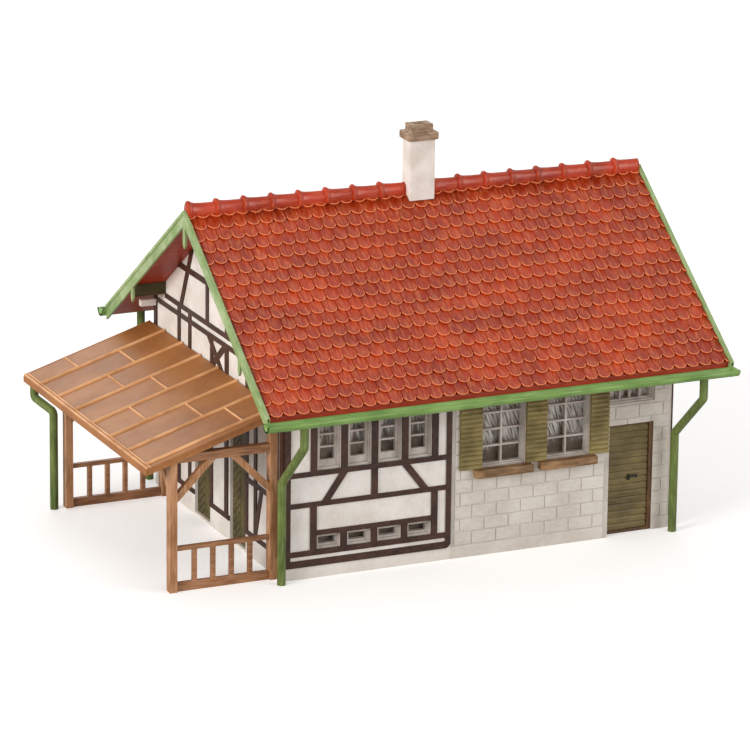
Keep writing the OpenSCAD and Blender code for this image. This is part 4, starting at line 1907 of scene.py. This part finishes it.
@dataclass
class Rainwater(Assembly):
    """Half-round gutters with a bead, and the downpipes."""

    gutter_wall: float = 0.4
    bead: float = 0.34
    pipe: float = 0.85
    elbow_reach: float = 0.952
    stub_drop: float = 5.4
    bend_drop: float = 14.8
    elbow: float = 1.0
    sides: int = 24
    gutter_steps: int = 20
    end_in: float = 0.05
    top_drop: float = 1.2
    porch_top_drop: float = 0.3
    porch_stub_drop: float = 3.2
    porch_bend: float = 20.5

    def gutter(self, side: str) -> bpy.types.Object:
        """One gutter with closed ends and a beaded outer rim.

        Args:
            side: front or rear.

        Returns:
            The piece, in the house frame.
        """
        low, high = HOUSE.box(f"{side}_gutter")
        outer = (high.y - low.y) / 2
        mid_y, rim_z = (low.y + high.y) / 2, high.z
        inner = outer - self.gutter_wall
        steps = self.gutter_steps
        arc = [math.pi * (1 + i / steps) for i in range(steps + 1)]

        def bow(radius: float, angles: list[float]) -> list[Flat]:
            """Points at a radius round the middle of the gutter's rim."""
            return [
                (mid_y + radius * math.cos(a), rim_z + radius * math.sin(a))
                for a in angles
            ]

        bm = bmesh.new()
        outline = bow(outer, arc) + bow(inner, arc[::-1])
        prism(bm, outline, low.x, high.x, Way.X)
        half = bow(outer - self.end_in, arc)
        for start in (low.x, high.x - self.gutter_wall):
            prism(bm, half, start, start + self.gutter_wall, Way.X)
        out = -1 if side == "front" else 1
        bead_y = mid_y + out * (outer - self.bead)
        ring = [
            (bead_y + self.bead * math.cos(a), rim_z - self.bead + self.bead * math.sin(a))
            for a in (2 * math.pi * i / 12 for i in range(12))
        ]
        prism(bm, ring, low.x, high.x, Way.X)
        return smoothed(as_object(f"{side}_beaded_gutter", bm), 40)

    def downpipe(self, side: str, end: str) -> bpy.types.Object:
        """One downpipe from its gutter to the ground.

        Args:
            side: front or rear.
            end: left or right.

        Returns:
            The piece, in the house frame.
        """
        low, high = HOUSE.box(f"{side}_{end}_downpipe")
        rim = HOUSE.box(f"{side}_gutter")[1].z
        reach = self.elbow_reach
        top_x, foot_x = high.x - reach, low.x + reach
        near, far = low.y + reach, high.y - reach
        gutter_y, wall_y = (near, far) if side == "front" else (far, near)
        points = [
            (top_x, gutter_y, rim - self.top_drop),
            (top_x, gutter_y, rim - self.stub_drop),
            (foot_x, wall_y, rim - self.bend_drop),
            (foot_x, wall_y, 0.0),
        ]
        return self.run(f"{side}_{end}_pipe", points)

    def run(self, name: str, points: list[Point]) -> bpy.types.Object:
        """A pipe along a line.

        Args:
            name: name of the piece.
            points: corners of the line.

        Returns:
            The piece, in the house frame.
        """
        made = grown(
            name,
            PIPE,
            {
                "Radius": self.pipe,
                "Elbow": self.elbow,
                "Sides": self.sides,
                "Finish": PIPE_GREEN.material(),
            },
            line_mesh(name, points),
        )
        return smoothed(made)

    def porch_pipe(self) -> bpy.types.Object:
        """The downpipe at the far corner of the porch."""
        low, high = HOUSE.box("porch_downpipe")
        reach = self.elbow_reach
        points = [
            (low.x + reach, high.y - reach, high.z - self.porch_top_drop),
            (low.x + reach, high.y - reach, high.z - self.porch_stub_drop),
            (high.x - reach, low.y + reach, self.porch_bend),
            (high.x - reach, low.y + reach, 0.0),
        ]
        return self.run("porch_pipe", points)

    def build(self) -> None:
        """Builds and settles the gutters and the pipes."""
        for side in ("front", "rear"):
            node = f"{side}_gutter"
            self.settle(self.gutter(side), GUTTER_GREEN, Slot.GUTTER, node)
            for end in ("left", "right"):
                node = f"{side}_{end}_downpipe"
                self.settle(self.downpipe(side, end), PIPE_GREEN, Slot.PIPE, node)
        self.settle(self.porch_pipe(), PIPE_GREEN, Slot.PIPE, "porch_downpipe")


@dataclass
class Porch(Assembly):
    """The boarded lean-to roof on its posts, beams and rails."""

    pitch: float = math.radians(17.3)
    first_seam: float = 2.1
    seam_pitch: float = 9.5
    seams: int = 7
    seam_wide: float = 0.8
    seam_high: float = 0.42
    cross_wide: float = 0.45
    cross_high: float = 0.28
    cross_at: tuple[float, ...] = (22.0, 17.5, 9.1, 17.8, 12.1, 18.5, 9.4)
    eave_ribs: tuple[Flat, ...] = ((0.4, 0.5), (1.05, 0.35))
    eave_rib_high: float = 0.22
    seam_short: float = 0.9
    thick: float = 1.3

    def rib_unit(self) -> bpy.types.Object:
        """A half-round rib of unit length, width and height, along X."""
        steps = 6
        outline = [
            (-0.5 * math.cos(math.pi * i / steps), math.sin(math.pi * i / steps))
            for i in range(steps + 1)
        ]
        outline = [(-0.5, -0.6), *outline, (0.5, -0.6)]
        bm = bmesh.new()
        prism(bm, outline, -0.5, 0.5, Way.X)
        return smoothed(as_object("rib_unit", bm))

    def slope(self) -> Matrix:
        """Matrix from the roof's own frame, up its slope, to the house."""
        low, high = HOUSE.box("porch_roof")
        eave = high.z - (high.x - low.x) * math.tan(self.pitch)
        turned = Matrix.Rotation(-self.pitch, 4, "Y")
        return Matrix.Translation((low.x, low.y, eave)) @ turned

    def ribs(self) -> bpy.types.Object:
        """The raised seams and cross joints of the roof boards."""
        low, high = HOUSE.box("porch_roof")
        length = (high.x - low.x) / math.cos(self.pitch)
        width = high.y - low.y
        short = self.seam_short
        places: list[Placed] = []
        for i in range(self.seams):
            y = self.first_seam + i * self.seam_pitch
            size = (length - short, self.seam_wide, self.seam_high)
            places.append((((length + short) / 2, y, 0.0), size))
        seams = self.on_places("porch_seams", places)
        crosses: list[Placed] = []
        for i, up in enumerate(self.cross_at):
            start = self.first_seam + i * self.seam_pitch
            end = min(start + self.seam_pitch, width)
            size = (end - start, self.cross_wide, self.cross_high)
            crosses.append(((-(start + end) / 2, up, 0.0), size))
        for up, wide in self.eave_ribs:
            size = (width, wide, self.eave_rib_high)
            crosses.append(((-width / 2, up, 0.0), size))
        levels = self.on_places("porch_cross_joints", crosses)
        levels.data.transform(Matrix.Rotation(math.radians(-90), 4, "Z"))
        made = self.joined(seams, levels)
        made.data.transform(self.slope())
        return made

    def on_places(self, name: str, places: list[Placed]) -> bpy.types.Object:
        """Ribs on their places.

        Args:
            name: name of the piece.
            places: centre and size of each rib.

        Returns:
            The piece, in the roof's own frame.
        """
        return grown(
            name,
            PLACES,
            {"Unit": self.rib_unit(), "Seed": 2, "Finish": RIB_TAN_HIGHLIGHT.material()},
            placed_points(name, places),
        )

    def joined(
        self, first: bpy.types.Object, second: bpy.types.Object
    ) -> bpy.types.Object:
        """Adds the second object's mesh to the first and removes the second.

        Args:
            first: object that keeps both meshes.
            second: object that is removed.

        Returns:
            The first object.
        """
        bm = bmesh.new()
        bm.from_mesh(first.data)
        bm.from_mesh(second.data)
        bm.to_mesh(first.data)
        bm.free()
        bpy.data.objects.remove(second)
        return first

    def edge_lips(self) -> bpy.types.Object:
        """Two lips along each sloping edge of the roof."""
        low, high = HOUSE.box("porch_roof")
        length = (high.x - low.x) / math.cos(self.pitch)
        places: list[Placed] = []
        for y, side in ((0.0, 1), (high.y - low.y, -1)):
            for drop in (-0.1, -self.thick + 0.15):
                centre = (length / 2 + 0.1, y + side * 0.12, drop)
                places.append((centre, (length - 0.3, 0.4, 0.2)))
        made = self.on_places("porch_edge_lips", places)
        made.data.transform(self.slope())
        return made

    def build(self) -> None:
        """Builds and settles the porch."""
        self.mould("porch_roof", "porch_roof_boards", ROOF_TAN, Slot.PORCH_ROOF)
        # the seams and cross joints take the lighter tan, a painted highlight
        self.settle(self.ribs(), RIB_TAN_HIGHLIGHT, Slot.PORCH_ROOF)
        self.settle(self.edge_lips(), ROOF_TAN, Slot.PORCH_ROOF)
        for side in ("front", "rear"):
            for end in ("left", "right"):
                node, name = f"porch_{side}_{end}_post", f"{side}_{end}_porch_post"
                self.mould(node, name, POST_BROWN, Slot.PORCH, TIMBER_EDGE)
            for kind in ("beam", "rail"):
                node, name = f"porch_{side}_{kind}", f"{side}_porch_{kind}"
                self.mould(node, name, BEAM_BROWN, Slot.PORCH)
        self.mould("porch_eave_beam", "eave_porch_beam", BEAM_BROWN, Slot.PORCH)


# ---------------------------------------------------------------- studio


@dataclass(frozen=True)
class Lamp:
    """A square soft lamp that looks at the middle of the house."""

    name: str
    place: Point
    size: float
    watts: float
    tint: tuple[float, float, float] = (1.0, 1.0, 1.0)
    mirrored: bool = True

    def light(self) -> None:
        """Sets the lamp up."""
        data = bpy.data.lights.new(self.name, "AREA")
        data.size = self.size
        data.energy = self.watts
        data.color = self.tint
        lamp = bpy.data.objects.new(self.name, data)
        bpy.context.scene.collection.objects.link(lamp)
        lamp.location = self.place
        lamp.visible_glossy = self.mirrored
        aim = Vector((0, 0, 0.03)) - Vector(self.place)
        lamp.rotation_euler = aim.to_track_quat("-Z", "Y").to_euler()


@dataclass
class Studio:
    """The camera, the lamps, the pale floor and the white background."""

    target: Point = (-0.01351, -0.0117, 0.03253)
    back: Point = (-0.39701, -0.87117, 0.28887)
    distance: float = 0.9526
    roll: float = math.radians(0.70)
    lens: float = 230.8
    lamps: tuple[Lamp, ...] = (
        Lamp("key", (-1.1, -0.35, 0.4), 0.5, 11.0, (1.0, 0.975, 0.94), mirrored=False),
        Lamp("fill", (0.75, -0.85, 0.3), 0.6, 5.0, (1.0, 0.985, 0.965)),
        Lamp("rear", (0.1, 0.9, 0.7), 0.7, 2.6),
    )
    world_light: Flat = (0.52, 1.0)  # on the model, and as seen or mirrored
    floor_reach: float = 6.0
    floor_glow: float = 0.3

    def camera(self) -> None:
        """Creates the camera and makes it the scene's."""
        data = bpy.data.cameras.new("camera")
        data.lens = self.lens
        data.sensor_width = 36
        data.clip_start = 0.01
        data.clip_end = 20
        camera = bpy.data.objects.new("camera", data)
        bpy.context.scene.collection.objects.link(camera)
        back = Vector(self.back).normalized()
        right = Vector((0, 0, 1)).cross(back).normalized()
        up = back.cross(right)
        c, s = math.cos(self.roll), math.sin(self.roll)
        columns = (c * right + s * up, c * up - s * right, back)
        camera.rotation_euler = Matrix(columns).transposed().to_euler()
        camera.location = Vector(self.target) + back * self.distance
        bpy.context.scene.camera = camera

    def world(self) -> None:
        """A pale even world that the camera sees as white."""
        world = bpy.data.worlds.new("studio")
        world.use_nodes = True
        bpy.context.scene.world = world
        wires = Wiring(world.node_tree)
        ray = wires.add("ShaderNodeLightPath")
        camera, glossy = ray.outputs["Is Camera Ray"], ray.outputs["Is Glossy Ray"]
        seen = wires.sum("MAXIMUM", camera, glossy)
        seen = wires.sum("MAXIMUM", seen, ray.outputs["Is Transmission Ray"])
        strength = wires.add("ShaderNodeMapRange")
        wires.put(strength, "Value", seen)
        wires.put(strength, "To Min", self.world_light[0])
        wires.put(strength, "To Max", self.world_light[1])
        sky = world.node_tree.nodes["Background"]
        wires.put(sky, "Color", (1.0, 1.0, 1.0, 1.0))
        wires.put(sky, "Strength", strength.outputs[0])

    def floor(self) -> None:
        """A wide pale floor, white to the camera but for the shadow."""
        bm = bmesh.new()
        reach = self.floor_reach
        corners = [(-reach, -reach), (reach, -reach), (reach, reach), (-reach, reach)]
        bm.faces.new([bm.verts.new((x, y, 0.0)) for x, y in corners])
        floor = as_object("studio_floor", bm)
        made = bpy.data.materials.new("studio_floor")
        made.use_nodes = True
        wires = Wiring(made.node_tree)
        shader = made.node_tree.nodes["Principled BSDF"]
        ray = wires.add("ShaderNodeLightPath")
        seen = ray.outputs["Is Camera Ray"]
        colour = wires.blend(seen, (0.62, 0.61, 0.6, 1.0), (0.93, 0.92, 0.91, 1.0))
        wires.put(shader, "Base Color", colour)
        wires.put(shader, "Roughness", 0.9)
        wires.put(shader, "Emission Color", (1.0, 1.0, 1.0, 1.0))
        wires.put(shader, "Emission Strength", wires.sum("MULTIPLY", seen, self.floor_glow))
        floor.data.materials.append(made)

    def build(self) -> None:
        """Builds the studio."""
        self.camera()
        self.world()
        self.floor()
        for lamp in self.lamps:
            lamp.light()
        bpy.context.scene.view_settings.view_transform = "Standard"
        LOG.info("studio ready")


def main() -> None:
    """Builds the studio and every sub-assembly, in order."""
    logging.basicConfig(level=logging.INFO, format="%(name)s %(message)s")
    Studio().build()
    roof = Roof()
    windows = Windows()
    roof.build()
    Verges(roof).build()
    Walls().build(windows)
    windows.build()
    Doors().build()
    Chimney().build()
    Rainwater().build()
    Porch().build()


if __name__ == "__main__":
    main()
